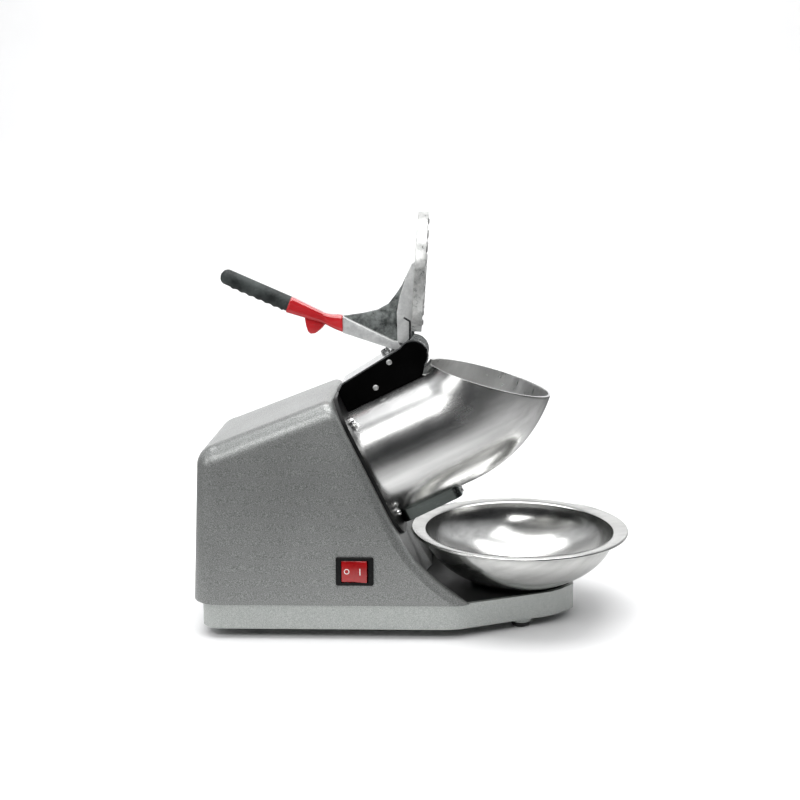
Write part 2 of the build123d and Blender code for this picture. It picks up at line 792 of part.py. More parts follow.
with BuildPart() as plate_screws:
    with BuildSketch(plate_plane.offset(plate_thickness)):
        with Locations(*[(0, place) for place in plate_screw_places]):
            Circle(plate_screw_head_radius)
    extrude(amount=3)
    with BuildSketch(plate_plane.offset(-plate_screw_length)):
        with Locations(*[(0, place) for place in plate_screw_places]):
            Circle(plate_screw_radius)
    extrude(amount=plate_screw_length + plate_thickness)
save(plate_screws, "plate_screws")

with BuildPart() as handle_sleeve:
    with BuildSketch(sleeve_plane.offset(-sleeve_height / 2)):
        RectangleRounded(sleeve_width, sleeve_height, sleeve_corner)
    extrude(amount=sleeve_run.length + sleeve_height / 2 + 3)
    with BuildSketch(sleeve_plane.offset(thumb_lug_station)):
        with Locations((0, sleeve_height / 2)):
            Rectangle(thumb_lug_width, 2 * thumb_lug_drop)
    extrude(amount=thumb_lug_length, taper=8)
    split(bisect_by=mitre, keep=Keep.BOTTOM)
    split(bisect_by=sleeve_seat, keep=Keep.TOP)
    with BuildSketch(sleeve_plane.offset(-sleeve_height / 2)):
        Circle(core_radius)
    extrude(amount=sleeve_run.length + sleeve_height / 2, mode=Mode.SUBTRACT)
    with Locations(place_of(sleeve_end)):
        Sphere(core_radius, mode=Mode.SUBTRACT)
save(handle_sleeve, "handle_sleeve")

with BuildPart() as hand_grip:
    with BuildSketch(grip_plane.offset(-3)):
        Circle(grip_radius)
    extrude(amount=grip_run.length + 3)
    fillet(hand_grip.edges().filter_by(GeomType.CIRCLE).sort_by(Axis.X)[0], grip_radius * 0.6)
    split(bisect_by=mitre, keep=Keep.TOP)
    with BuildSketch(grip_plane):
        Circle(core_radius)
    extrude(amount=grip_core_depth, mode=Mode.SUBTRACT)
    with Locations(place_of(sleeve_end)):
        Sphere(core_radius, mode=Mode.SUBTRACT)
save(hand_grip, "hand_grip")

spring_start = -hub_half_width - 2 * spring_wire_radius
with BuildPart() as return_spring:
    with BuildLine():
        coil = Helix(
            pitch=spring_pitch,
            height=spring_pitch * spring_turns,
            radius=spring_coil_radius,
            center=pivot + Vector(0, spring_start, 0),
            direction=(0, -1, 0),
        )
    with BuildSketch(Plane(origin=coil @ 0, z_dir=coil % 0)):
        Circle(spring_wire_radius)
    sweep()
    leg_places = [coil @ 0 + Vector(x, 0, z) for x, z in ((0, 0), *spring_leg)]
    for start, end in zip(leg_places, leg_places[1:]):
        with BuildSketch(Plane(origin=start, z_dir=end - start)):
            Circle(spring_wire_radius)
        extrude(amount=(end - start).length)
        with Locations(end):
            Sphere(spring_wire_radius)
    with BuildSketch(Plane(origin=coil @ 1, z_dir=(1, 0, 0))):
        Circle(spring_wire_radius)
    extrude(amount=spring_tail)
save(return_spring, "return_spring")

# ---------------------------------------------------------------- motor
with BuildPart() as mounting_plate:
    with BuildSketch(station(face_wall_back)):
        Circle(face_plate_radius)
        Circle(bearing_radius, mode=Mode.SUBTRACT)
    extrude(amount=-face_plate_thickness)
save(mounting_plate, "mounting_plate")

bolt_ring = (motor_radius + casing_wall + 1, 4)
bearing_seat = bearing_width + 2


def end_bell(near, length, opens):
    """An end bell with a bearing seat; opens is the side its bearing is pushed in from."""
    with BuildPart(mode=Mode.PRIVATE) as bell:
        with BuildSketch(station(near)):
            Circle(motor_radius)
            with PolarLocations(*bolt_ring, start_angle=45):
                Circle(bolt_boss_radius)
            with PolarLocations(*bolt_ring, start_angle=45):
                Circle(motor_bolt_radius, mode=Mode.SUBTRACT)
        extrude(amount=-length)
        inner = near - length if opens < 0 else near
        with BuildSketch(station(inner)):
            Circle(motor_radius - casing_wall)
            Circle(bearing_radius + casing_wall, mode=Mode.SUBTRACT)
        extrude(amount=-opens * (length - casing_wall), mode=Mode.SUBTRACT)
        with BuildSketch(station(inner)):
            Circle(bearing_radius)
        extrude(amount=-opens * bearing_seat, mode=Mode.SUBTRACT)
        with BuildSketch(station(near)):
            Circle(shaft_radius + 2)
        extrude(amount=-length, mode=Mode.SUBTRACT)
    return bell.part


with BuildPart() as front_bell:
    add(end_bell(bell_front, front_bell_length, -1))
save(front_bell, "motor_front_bell")

with BuildPart() as rear_bell:
    add(end_bell(casing_back, rear_bell_length, 1))
save(rear_bell, "motor_rear_bell")

with BuildPart() as motor_casing:
    with BuildSketch(station(casing_front)):
        Circle(motor_radius)
        Circle(motor_radius - casing_wall, mode=Mode.SUBTRACT)
    extrude(amount=-casing_length)
save(motor_casing, "motor_casing")

with BuildPart() as motor_bolts:
    with BuildSketch(station(bell_back)):
        with PolarLocations(*bolt_ring, start_angle=45):
            Circle(motor_bolt_radius)
    extrude(amount=bell_front - bell_back)
    with BuildSketch(station(bell_back)):
        with PolarLocations(*bolt_ring, start_angle=45):
            RegularPolygon(motor_bolt_radius * 1.9, 6)
    extrude(amount=-motor_bolt_radius * 1.4)
save(motor_bolts, "motor_bolts")

stack_middle = (casing_front + casing_back) / 2
stack_front = stack_middle + stack_length / 2
stack_back = stack_middle - stack_length / 2

with BuildPart() as stator_core:
    with BuildSketch(station(stack_front)):
        Circle(motor_radius - casing_wall)
        Circle(stator_bore_radius, mode=Mode.SUBTRACT)
        with PolarLocations(stator_bore_radius + 7, 12):
            SlotOverall(9, 4.4, mode=Mode.SUBTRACT)
    extrude(amount=-stack_length)
save(stator_core, "stator_core")

with BuildPart() as stator_windings:
    for start, sense in ((stack_front, 1), (stack_back, -1)):
        with BuildSketch(station(start)):
            Circle(stator_bore_radius + 12)
            Circle(stator_bore_radius + 2, mode=Mode.SUBTRACT)
        extrude(amount=sense * winding_length)
    fillet(stator_windings.edges().filter_by(GeomType.CIRCLE), winding_length * 0.3)
save(stator_windings, "stator_windings")

with BuildPart() as rotor_core:
    with BuildSketch(station(stack_front)):
        Circle(stator_bore_radius - air_gap)
        Circle(shaft_radius, mode=Mode.SUBTRACT)
        with PolarLocations(stator_bore_radius - 5, 16):
            Circle(1.4, mode=Mode.SUBTRACT)
    extrude(amount=-stack_length)
save(rotor_core, "rotor_core")

with BuildPart() as motor_shaft:
    with BuildSketch(station(fan_back - 2)):
        Circle(shaft_radius)
    extrude(amount=shaft_front - fan_back + 2)
    chamfer(motor_shaft.edges().filter_by(GeomType.CIRCLE), 0.8)
save(motor_shaft, "motor_shaft")

for bearing_front, bearing_name in (
    (casing_front + bearing_seat, "front_bearing"),
    (casing_back - bearing_seat + bearing_width, "rear_bearing"),
):
    with BuildPart() as bearing:
        with BuildSketch(station(bearing_front)):
            Circle(bearing_radius)
            Circle(shaft_radius + running_clearance, mode=Mode.SUBTRACT)
        extrude(amount=-bearing_width)
        for face in (0, -bearing_width + 0.8):
            with BuildSketch(station(bearing_front + face)):
                Circle(bearing_radius - 3)
                Circle(shaft_radius + 3, mode=Mode.SUBTRACT)
            extrude(amount=-0.8, mode=Mode.SUBTRACT)
    save(bearing, bearing_name)

with BuildPart() as cooling_fan:
    with BuildSketch(station(fan_front)):
        Circle(fan_radius)
        Circle(shaft_radius, mode=Mode.SUBTRACT)
    extrude(amount=-2)
    with BuildSketch(station(fan_front - 2)):
        Circle(shaft_radius + 6)
        Circle(shaft_radius, mode=Mode.SUBTRACT)
        with PolarLocations((fan_radius + shaft_radius + 5) / 2, fan_blades):
            Rectangle(fan_radius - shaft_radius - 5, 2)
    extrude(amount=-fan_width + 2)
save(cooling_fan, "cooling_fan")

# ---------------------------------------------------------------- cutter
disc_front = disc_station + disc_thickness
blade_screw_reach = blade_length / 2 - 6
blade_screw_places = [(side * blade_screw_reach, -blade_width * 0.6) for side in (-1, 1)]

with BuildPart() as blade_disc:
    with BuildSketch(station(disc_station)):
        Circle(disc_radius)
        Circle(shaft_radius, mode=Mode.SUBTRACT)
        with PolarLocations(blade_offset, 2):
            SlotOverall(blade_length + 2, blade_slot_width, mode=Mode.SUBTRACT)
            with Locations(*blade_screw_places):
                Circle(blade_screw_radius, mode=Mode.SUBTRACT)
    extrude(amount=disc_thickness)
    with BuildSketch(station(disc_station)):
        Circle(disc_hub_radius)
        Circle(shaft_radius, mode=Mode.SUBTRACT)
    extrude(amount=-disc_hub_length)
save(blade_disc, "blade_disc")

with BuildPart() as blades:
    with BuildSketch(station(disc_front)):
        with PolarLocations(blade_offset, 2):
            with Locations((0, -blade_width / 2 + blade_edge_reach)):
                Rectangle(blade_length, blade_width)
            with Locations(*blade_screw_places):
                Circle(blade_screw_radius, mode=Mode.SUBTRACT)
    extrude(amount=blade_thickness)
save(blades, "blades")

with BuildPart() as blade_screws:
    with BuildSketch(station(disc_front + blade_thickness)):
        with PolarLocations(blade_offset, 2):
            with Locations(*blade_screw_places):
                Circle(blade_screw_radius * 1.8)
    extrude(amount=1.6)
    with BuildSketch(station(disc_front + blade_thickness)):
        with PolarLocations(blade_offset, 2):
            with Locations(*blade_screw_places):
                Circle(blade_screw_radius)
    extrude(amount=-disc_thickness - blade_thickness)
save(blade_screws, "blade_screws")

with BuildPart() as disc_nut:
    with BuildSketch(station(disc_front)):
        RegularPolygon(nut_radius, 6)
        Circle(shaft_radius, mode=Mode.SUBTRACT)
    extrude(amount=nut_height)
save(disc_nut, "disc_nut")

# ---------------------------------------------------------------- switch
body_width = bezel_width - 2 * switch_body_margin - 0.4
body_height = bezel_height - 2 * switch_body_margin - 0.4
rocker_centre = switch_plane.origin - switch_plane.z_dir * rocker_pivot_depth
rocker_plane = Plane(origin=rocker_centre, x_dir=(1, 0, 0), z_dir=switch_up)
# The section that the rocker is drawn in, already tipped to its resting (off) side.
rocker_section = rocker_plane.rotated((0, 0, -rocker_half_travel))

with BuildPart() as switch_body:
    with BuildSketch(switch_plane):
        RectangleRounded(bezel_width, bezel_height, 2)
    extrude(amount=bezel_lip)
    fillet(switch_body.faces().sort_by(Axis.Y)[0].edges(), 0.7)
    with BuildSketch(switch_plane):
        Rectangle(body_width, body_height)
    extrude(amount=-switch_depth)
    with BuildSketch(switch_plane.offset(bezel_lip)):
        Rectangle(rocker_width + 2 * rocker_clearance, rocker_height + rocker_clearance)
    extrude(amount=-rocker_well_depth, mode=Mode.SUBTRACT)
    with BuildSketch(rocker_plane):
        Circle(rocker_pin_radius + running_clearance)
    extrude(amount=rocker_height / 2 + rocker_pin_length + 0.2, both=True, mode=Mode.SUBTRACT)
save(switch_body, "switch_body")

with BuildPart() as rocker:
    with BuildSketch(rocker_section):
        edge_rise = rocker_width / 2 * tan(radians(rocker_half_travel))
        crest = rocker_pivot_depth + rocker_face_height
        Polygon(
            (-rocker_width / 2, -crest - edge_rise),
            (0, -crest),
            (rocker_width / 2, -crest - edge_rise),
            (rocker_width / 2, 1),
            (rocker_width / 3, 6),
            (-rocker_width / 3, 6),
            (-rocker_width / 2, 1),
            align=None,
        )
    extrude(amount=rocker_height / 2, both=True)
    with BuildSketch(rocker_plane):
        Circle(rocker_pin_radius)
    extrude(amount=rocker_height / 2 + rocker_pin_length, both=True)
save(rocker, "rocker")

with BuildPart() as switch_tabs:
    with BuildSketch(switch_plane.offset(-switch_depth)):
        with GridLocations(9, 1, 3, 1):
            Rectangle(terminal_tab[1], terminal_tab[0])
    extrude(amount=-terminal_tab[2])
save(switch_tabs, "switch_tabs")

# ---------------------------------------------------------------- electrics
with BuildPart() as cord_gland:
    with BuildSketch(gland_plane):
        Circle(gland_radius - 2)
        Circle(gland_bore_radius, mode=Mode.SUBTRACT)
    extrude(amount=gland_length)
    for start, depth in ((0, -gland_flange), (housing_wall, gland_flange)):
        with BuildSketch(gland_plane.offset(start)):
            Circle(gland_radius)
            Circle(gland_bore_radius, mode=Mode.SUBTRACT)
        extrude(amount=depth)
save(cord_gland, "cord_gland")

capacitor_plane = Plane(
    origin=(capacitor_x, capacitor_y, deck_bottom + capacitor_radius), x_dir=(0, 1, 0), z_dir=(1, 0, 0)
)
with BuildPart() as capacitor:
    with BuildSketch(capacitor_plane):
        Circle(capacitor_radius)
    extrude(amount=capacitor_length / 2, both=True)
    fillet(capacitor.edges(), 2)
    with BuildSketch(capacitor_plane.offset(capacitor_length / 2)):
        with Locations((-5, 0), (5, 0)):
            Rectangle(0.8, 6)
    extrude(amount=8)
save(capacitor, "capacitor")

with BuildPart() as capacitor_clamp:
    with BuildSketch(capacitor_plane):
        Circle(capacitor_radius + clamp_wall)
        with Locations((0, -capacitor_radius / 2)):
            Rectangle(2 * (capacitor_radius + clamp_wall), capacitor_radius)
        with Locations((0, clamp_wall / 2 - capacitor_radius)):
            Rectangle(2 * (capacitor_radius + clamp_wall + clamp_foot), clamp_wall)
        Circle(capacitor_radius, mode=Mode.SUBTRACT)
        with Locations((0, -capacitor_radius)):
            Rectangle(2 * capacitor_radius, 2 * capacitor_radius, mode=Mode.SUBTRACT)
    extrude(amount=clamp_width / 2, both=True)
save(capacitor_clamp, "capacitor_clamp")

with BuildPart() as terminal_block:
    with BuildSketch(Plane.XY.offset(deck_bottom)):
        with Locations((terminal_x, terminal_y)):
            Rectangle(18, 48)
    extrude(amount=14)
    with BuildSketch(Plane.XY.offset(deck_bottom + 14)):
        with Locations((terminal_x, terminal_y)):
            with GridLocations(9, 11, 2, 4):
                Circle(2.6)
    extrude(amount=-6, mode=Mode.SUBTRACT)
save(terminal_block, "terminal_block")

# ---------------------------------------------------------------- bowl
rim_top = mat_top + bowl_height
bowl_bulge_radius = bowl_foot_radius + 0.73 * (bowl_mouth_radius - bowl_foot_radius)

with BuildPart() as bowl:
    with BuildSketch(Plane(origin=(bowl_x, 0, 0), x_dir=(1, 0, 0), z_dir=(0, -1, 0))):
        with BuildLine():
            base_line = Line((0, mat_top), (bowl_foot_radius, mat_top))
            side_line = ThreePointArc(
                base_line @ 1,
                (bowl_bulge_radius, mat_top + 0.42 * bowl_height),
                (bowl_mouth_radius, rim_top - bowl_lip_rise),
            )
            Line(side_line @ 1, (bowl_rim_radius - bowl_bead_radius, rim_top - bowl_bead_radius))
            offset(amount=bowl_wall, side=Side.LEFT)
        make_face()
        with Locations((bowl_rim_radius - bowl_bead_radius, rim_top - bowl_bead_radius)):
            Circle(bowl_bead_radius)
    revolve(axis=Axis((bowl_x, 0, 0), (0, 0, 1)))
save(bowl, "bowl")
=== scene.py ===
# %% [markdown]
# # A counter-top shaved ice machine
# The real machine is a painted sheet-metal case on a cast base pan, with a bright spun hopper, a
# cast lever that swings a toothed plate into it, and a loose steel bowl. Its sizes and joints come
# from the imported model, so this lesson only adds what the eye needs: better surfaces on the pieces
# whose shape is already right, and finely modelled pieces where a plain solid would look dull.

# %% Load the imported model
import json
import math

import bmesh
import bpy
from mathutils import Matrix, Vector


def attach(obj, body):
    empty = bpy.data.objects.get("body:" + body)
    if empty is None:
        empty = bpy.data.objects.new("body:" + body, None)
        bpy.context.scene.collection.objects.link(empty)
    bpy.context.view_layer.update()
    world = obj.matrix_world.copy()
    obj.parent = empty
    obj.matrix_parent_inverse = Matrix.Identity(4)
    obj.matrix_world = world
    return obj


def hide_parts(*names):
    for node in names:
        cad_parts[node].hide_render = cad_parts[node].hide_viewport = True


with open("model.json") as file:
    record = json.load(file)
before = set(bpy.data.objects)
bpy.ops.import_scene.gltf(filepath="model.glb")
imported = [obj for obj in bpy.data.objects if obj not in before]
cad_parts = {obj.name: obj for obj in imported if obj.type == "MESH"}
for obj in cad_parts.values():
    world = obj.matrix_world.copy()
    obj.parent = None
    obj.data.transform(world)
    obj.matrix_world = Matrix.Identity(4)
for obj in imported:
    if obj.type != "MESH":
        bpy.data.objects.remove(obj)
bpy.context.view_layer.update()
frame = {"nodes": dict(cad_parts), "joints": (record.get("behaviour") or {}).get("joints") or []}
nodes = frame["nodes"]

# %% [markdown]
# The camera comes before anything else, because every later choice is judged through it. It stands
# low in front of the switch side, about a metre and a quarter away, with a slightly long lens, as a
# catalogue picture of a counter-top machine is taken. The lens could be wider and closer, but then
# the bowl would swell against the case.

# %% Camera
camera_place = Vector((0.0254, -1.2538, 0.4695))
camera_target = Vector((-0.0144, 0.0, 0.2304))
camera_roll = math.radians(-0.27)

camera_data = bpy.data.cameras.new("camera")
camera_data.lens = 54.7
camera_data.sensor_width = 36.0
camera = bpy.data.objects.new("camera", camera_data)
bpy.context.scene.collection.objects.link(camera)
aim = (camera_target - camera_place).to_track_quat("-Z", "Y").to_matrix().to_4x4()
camera.matrix_world = Matrix.Translation(camera_place) @ aim @ Matrix.Rotation(camera_roll, 4, "Z")
bpy.context.scene.camera = camera
print("camera stands", round((camera_target - camera_place).length, 3), "m from its target")

# %% [markdown]
# A white sweep stands in for the studio's paper roll: the floor runs back and bends up into a wall,
# so there is no line behind the machine. It could be a plain plane with a white world, but polished
# metal mirrors whatever is round it, and a sweep gives it a believable room.

# %% Stage
sweep_half_width = 4.0
sweep_front, sweep_back = -4.5, 2.6
sweep_bend = 1.2
sweep_top = 5.0

stage_mesh = bmesh.new()
line = [stage_mesh.verts.new((-sweep_half_width, sweep_front, 0.0))]
for step in range(17):
    angle = math.radians(90.0) * step / 16
    y = sweep_back - sweep_bend + sweep_bend * math.sin(angle)
    z = sweep_bend - sweep_bend * math.cos(angle)
    line.append(stage_mesh.verts.new((-sweep_half_width, y, z)))
line.append(stage_mesh.verts.new((-sweep_half_width, sweep_back, sweep_top)))
edges = [stage_mesh.edges.new(pair) for pair in zip(line, line[1:])]
swept = bmesh.ops.extrude_edge_only(stage_mesh, edges=edges)["geom"]
moved = [item for item in swept if isinstance(item, bmesh.types.BMVert)]
bmesh.ops.translate(stage_mesh, verts=moved, vec=(2 * sweep_half_width, 0, 0))
bmesh.ops.recalc_face_normals(stage_mesh, faces=stage_mesh.faces)
for face in stage_mesh.faces:
    face.smooth = True
floor_data = bpy.data.meshes.new("studio_sweep")
stage_mesh.to_mesh(floor_data)
stage_mesh.free()
floor = bpy.data.objects.new("studio_sweep", floor_data)
bpy.context.scene.collection.objects.link(floor)


# %% [markdown]
# Four soft lights and a graded sky do the lighting. The broad panel overhead draws the long
# pale streak down the hopper, the side panel brings out the case's hammered paint, and the sky is
# dark near the horizon, because a mirror in an all-white room looks like white plastic.

# %% Lights
def soft_light(name, place, target, width, height, power):
    """A rectangular softbox aimed at a point."""
    data = bpy.data.lights.new(name, "AREA")
    data.shape = "RECTANGLE"
    data.size = width
    data.size_y = height
    data.energy = power
    light = bpy.data.objects.new(name, data)
    light.location = place
    light.rotation_euler = (Vector(target) - Vector(place)).to_track_quat("-Z", "Y").to_euler()
    bpy.context.scene.collection.objects.link(light)


soft_light("overhead", (-0.05, -0.25, 1.7), (0.0, 0.0, 0.2), 1.5, 0.8, 15.0)
soft_light("side", (-1.9, -1.0, 1.0), (0.0, 0.0, 0.2), 0.9, 1.2, 8.0)
soft_light("high_front", (-0.5, -1.7, 1.7), (0.0, 0.0, 0.2), 1.9, 0.7, 21.0)
soft_light("backdrop", (0.0, 0.9, 2.6), (0.0, 2.2, 0.6), 3.0, 0.8, 52.0)

world = bpy.data.worlds.new("studio")
bpy.context.scene.world = world
world.use_nodes = True
sky = world.node_tree
sky_place = sky.nodes.new("ShaderNodeTexCoord")
sky_height = sky.nodes.new("ShaderNodeVectorMath")
sky_height.operation = "DOT_PRODUCT"
sky_height.inputs[1].default_value = (0.0, 0.5, 0.87)
sky_ramp = sky.nodes.new("ShaderNodeValToRGB")
sky.links.new(sky_place.outputs["Generated"], sky_height.inputs[0])
sky.links.new(sky_height.outputs["Value"], sky_ramp.inputs["Fac"])
sky.links.new(sky_ramp.outputs["Color"], sky.nodes["Background"].inputs["Color"])
sky_ramp.color_ramp.elements[0].position = 0.16
sky_ramp.color_ramp.elements[0].color = (0.035, 0.036, 0.038, 1)
sky_ramp.color_ramp.elements[1].position = 0.68
sky_ramp.color_ramp.elements[1].color = (0.95, 0.96, 0.98, 1)
sky.nodes["Background"].inputs["Strength"].default_value = 0.9
bpy.context.scene.view_settings.view_transform = "Standard"


# %% [markdown]
# From the back and the sides the sweep's open edge would show. A pale round wall closes the room for
# the camera alone, so the metal still mirrors the dark studio.

# %% Wall of the room
wall_shape = bmesh.new()
bmesh.ops.create_cone(wall_shape, segments=96, radius1=4.2, radius2=4.2, depth=8.0)
bmesh.ops.translate(wall_shape, verts=wall_shape.verts, vec=(0, 0, 3.9))
wall_mesh = bpy.data.meshes.new("room_wall")
wall_shape.to_mesh(wall_mesh)
wall_shape.free()
wall = bpy.data.objects.new("room_wall", wall_mesh)
bpy.context.scene.collection.objects.link(wall)


def hide_from(piece, *rays):
    """Make a stage piece invisible to some kinds of ray."""
    for ray in rays:
        setattr(piece, "visible_" + ray, False)


hide_from(wall, "diffuse", "glossy", "shadow", "transmission", "volume_scatter")

# %% [markdown]
# Every surface is a small node tree. These helpers keep the trees short to read: one starts a
# material and gives the position of each point on the object, and the others add a node, set its
# inputs, and link an input where another node's output is given.

# %% Helpers for materials
def start_material(name, **shader_inputs):
    """A new material; returns it with its node tree, its shader and the object's coordinates."""
    made = bpy.data.materials.new(name)
    made.use_nodes = True
    tree = made.node_tree
    place = tree.nodes.new("ShaderNodeTexCoord")
    shader = tree.nodes["Principled BSDF"]
    names = {key: key.replace("_", " ").title().replace("Ior", "IOR") for key in shader_inputs}
    set_inputs(tree, shader, {names[key]: value for key, value in shader_inputs.items()})
    return made, tree, shader, place.outputs["Object"]


def set_inputs(tree, target, inputs):
    """Set or link the inputs of a node, by name or by number."""
    for key, value in inputs.items():
        if isinstance(value, bpy.types.NodeSocket):
            tree.links.new(value, target.inputs[key])
        else:
            target.inputs[key].default_value = value


def add_node(tree, kind, inputs, **settings):
    """A shader node with its inputs set to values, or linked where a socket is given."""
    made = tree.nodes.new("ShaderNode" + kind)
    for key, value in settings.items():
        setattr(made, key, value)
    set_inputs(tree, made, inputs)
    return made


def noise(tree, place, scale, detail=3.0, roughness=0.5):
    """Smooth random blotches; scale is about how many fit in a metre."""
    inputs = {"Vector": place, "Scale": scale, "Detail": detail, "Roughness": roughness}
    return add_node(tree, "TexNoise", inputs).outputs["Fac"]


def stretched(tree, place, scale, turn=(0.0, 0.0, 0.0)):
    """Coordinates turned, then squeezed by a scale on each axis, for grain that runs one way."""
    turned = add_node(tree, "Mapping", {"Vector": place, "Rotation": turn})
    return add_node(tree, "Mapping", {"Vector": turned.outputs[0], "Scale": scale}).outputs[0]


def graded(tree, factor, *stops):
    """A colour ramp from (position, colour) stops, read at a factor."""
    ramp = tree.nodes.new("ShaderNodeValToRGB")
    while len(ramp.color_ramp.elements) < len(stops):
        ramp.color_ramp.elements.new(0.5)
    for element, (position, colour) in zip(ramp.color_ramp.elements, stops):
        element.position = position
        element.color = (*colour, 1)
    tree.links.new(factor, ramp.inputs["Fac"])
    return ramp.outputs["Color"]


def spread(tree, factor, low, high):
    """A number that runs from low to high as a factor runs from 0.3 to 0.7."""
    settings = {"Value": factor, "From Min": 0.3, "From Max": 0.7, "To Min": low, "To Max": high}
    return add_node(tree, "MapRange", settings).outputs["Result"]


def mixed(tree, factor, first, second, blend="MIX"):
    """Two colours mixed by a factor."""
    mix = add_node(tree, "Mix", {}, data_type="RGBA", blend_type=blend)
    set_inputs(tree, mix, {0: factor, 6: first, 7: second})
    return mix.outputs[2]


def rough_surface(tree, shader, *heights):
    """Stack (height, depth in metres) pairs into one bumpy surface on the shader."""
    normal = None
    for height, depth in heights:
        bump = add_node(tree, "Bump", {"Height": height, "Distance": depth, "Strength": 1.0})
        if normal:
            tree.links.new(normal, bump.inputs["Normal"])
        normal = bump.outputs["Normal"]
    tree.links.new(normal, shader.inputs["Normal"])


# %% [markdown]
# The paper of the sweep is nearly white, with a very faint mottling so that it doesn't look like a
# computer's flat colour.

# %% Paper of the sweep
paper, tree, shader, place = start_material("sweep_paper", roughness=0.85)
mottle = noise(tree, place, 3.0, 5.0)
set_inputs(tree, shader, {"Base Color": graded(tree, mottle, (0.3, (0.90,) * 3), (0.7, (0.93,) * 3))})
floor.data.materials.append(paper)

wall_paint, tree, shader, place = start_material("wall_paint", roughness=0.9, emission_strength=0.75)
mottle = noise(tree, place, 1.5, 4.0)
pale = graded(tree, mottle, (0.3, (0.90,) * 3), (0.7, (0.93,) * 3))
set_inputs(tree, shader, {"Base Color": pale, "Emission Color": pale})
wall_mesh.materials.append(wall_paint)

# %% [markdown]
# Polished metal shows the room more than itself, and in an all-white room it vanishes. Studios hang
# grey and black cards just out of the picture, to draw dark shapes on it. Here one grey card lies on
# the floor, pale by the machine and dark further out. Only reflections see it.

# %% Card for the reflections
card_shape = bmesh.new()
bmesh.ops.create_circle(card_shape, cap_ends=True, segments=64, radius=3.4)
bmesh.ops.translate(card_shape, verts=card_shape.verts, vec=(0, 0, 0.0006))
card_mesh = bpy.data.meshes.new("reflection_card")
card_shape.to_mesh(card_mesh)
card_shape.free()
card = bpy.data.objects.new("reflection_card", card_mesh)
bpy.context.scene.collection.objects.link(card)
hide_from(card, "camera", "diffuse", "shadow", "transmission", "volume_scatter")
card_paint, tree, shader, place = start_material("card_paint", roughness=0.9)
centred = add_node(tree, "Mapping", {"Vector": place, "Scale": (0.3, 0.3, 0.3)}).outputs[0]
distance = add_node(tree, "TexGradient", {"Vector": centred}, gradient_type="SPHERICAL").outputs["Fac"]
card_greys = ((0.60, 0.03), (0.78, 0.14), (0.87, 0.40), (0.94, 0.8))
card_shades = graded(tree, distance, *[(position, (grey,) * 3) for position, grey in card_greys])
set_inputs(tree, shader, {"Base Color": card_shades})
card_mesh.materials.append(card_paint)

# %% [markdown]
# ## Painted metal
# The case and the base pan wear hammered stoving enamel: aluminium flake in a clear binder that dries
# into tiny cells. Flat grey paint would look like plastic. Here a cell pattern about a millimetre
# across gives the dimples, and a finer noise gives each flake its own shade.

# %% Hammered enamel
def hammered_enamel(name, dark, light, cell=620.0, depth=0.00010, roughness=(0.30, 0.46)):
    """Flaked paint with shallow cells; dark and light are the two shades of its flakes."""
    material, tree, shader, place = start_material(name, metallic=0.55)
    cells = add_node(tree, "TexVoronoi", {"Vector": place, "Scale": cell}, feature="SMOOTH_F1")
    flake = noise(tree, place, cell * 2.2, 2.0, 0.7)
    cloud = noise(tree, place, 9.0, 4.0)
    middle = [(a + b) / 2 for a, b in zip(dark, light)]
    shade = graded(tree, flake, (0.36, dark), (0.52, middle), (0.66, light))
    cloud_shade = graded(tree, cloud, (0.3, (0.90,) * 3), (0.7, (1.0,) * 3))
    set_inputs(
        tree,
        shader,
        {
            "Base Color": mixed(tree, 1.0, shade, cloud_shade, "MULTIPLY"),
            "Roughness": spread(tree, cloud, *roughness),
            "Coat Weight": 0.35,
            "Coat Roughness": 0.18,
        },
    )
    rough_surface(tree, shader, (cells.outputs["Distance"], depth), (flake, depth * 0.3))
    return material


case_enamel = hammered_enamel("case_enamel", (0.14, 0.146, 0.142), (0.43, 0.44, 0.43))
pan_enamel = hammered_enamel("pan_enamel", (0.32, 0.34, 0.325), (0.60, 0.62, 0.60), 700.0)
motor_enamel = hammered_enamel("motor_enamel", (0.03, 0.03, 0.035), (0.09, 0.09, 0.10), 300.0, 0.00004)

# %% [markdown]
# ## Bare metal
# Three kinds of bare metal cover the rest: polished sheet, whose mirror is broken by wiping marks;
# linished or turned metal, whose fine lines all run one way; and sand-cast metal, which is mottled
# and grainy where it isn't ground. All of them are the same shader with different grain.

# %% Bare metals
def polished_sheet(name, shade, roughness, marks=14.0, waves=0.00004):
    """A bright mirror with faint wiping marks and slightly wavy rolling."""
    material, tree, shader, place = start_material(name, metallic=1.0)
    wiping = noise(tree, place, marks, 5.0, 0.6)
    scratches = noise(tree, stretched(tree, place, (30.0, 900.0, 900.0), (0, 0.45, 0)), 1.0, 2.0)
    streaks = noise(tree, stretched(tree, place, (5.0, 90.0, 90.0), (0, 0.45, 0)), 1.0, 5.0, 0.6)
    smear = mixed(tree, 0.6, wiping, streaks)
    tint = graded(tree, smear, (0.38, [value * 0.74 for value in shade]), (0.60, shade))
    spots = mixed(tree, 0.25, spread(tree, wiping, *roughness), spread(tree, scratches, *roughness))
    set_inputs(tree, shader, {"Base Color": tint, "Roughness": spots})
    rough_surface(tree, shader, (noise(tree, place, 30.0, 1.0), waves), (scratches, 0.000004))
    return material


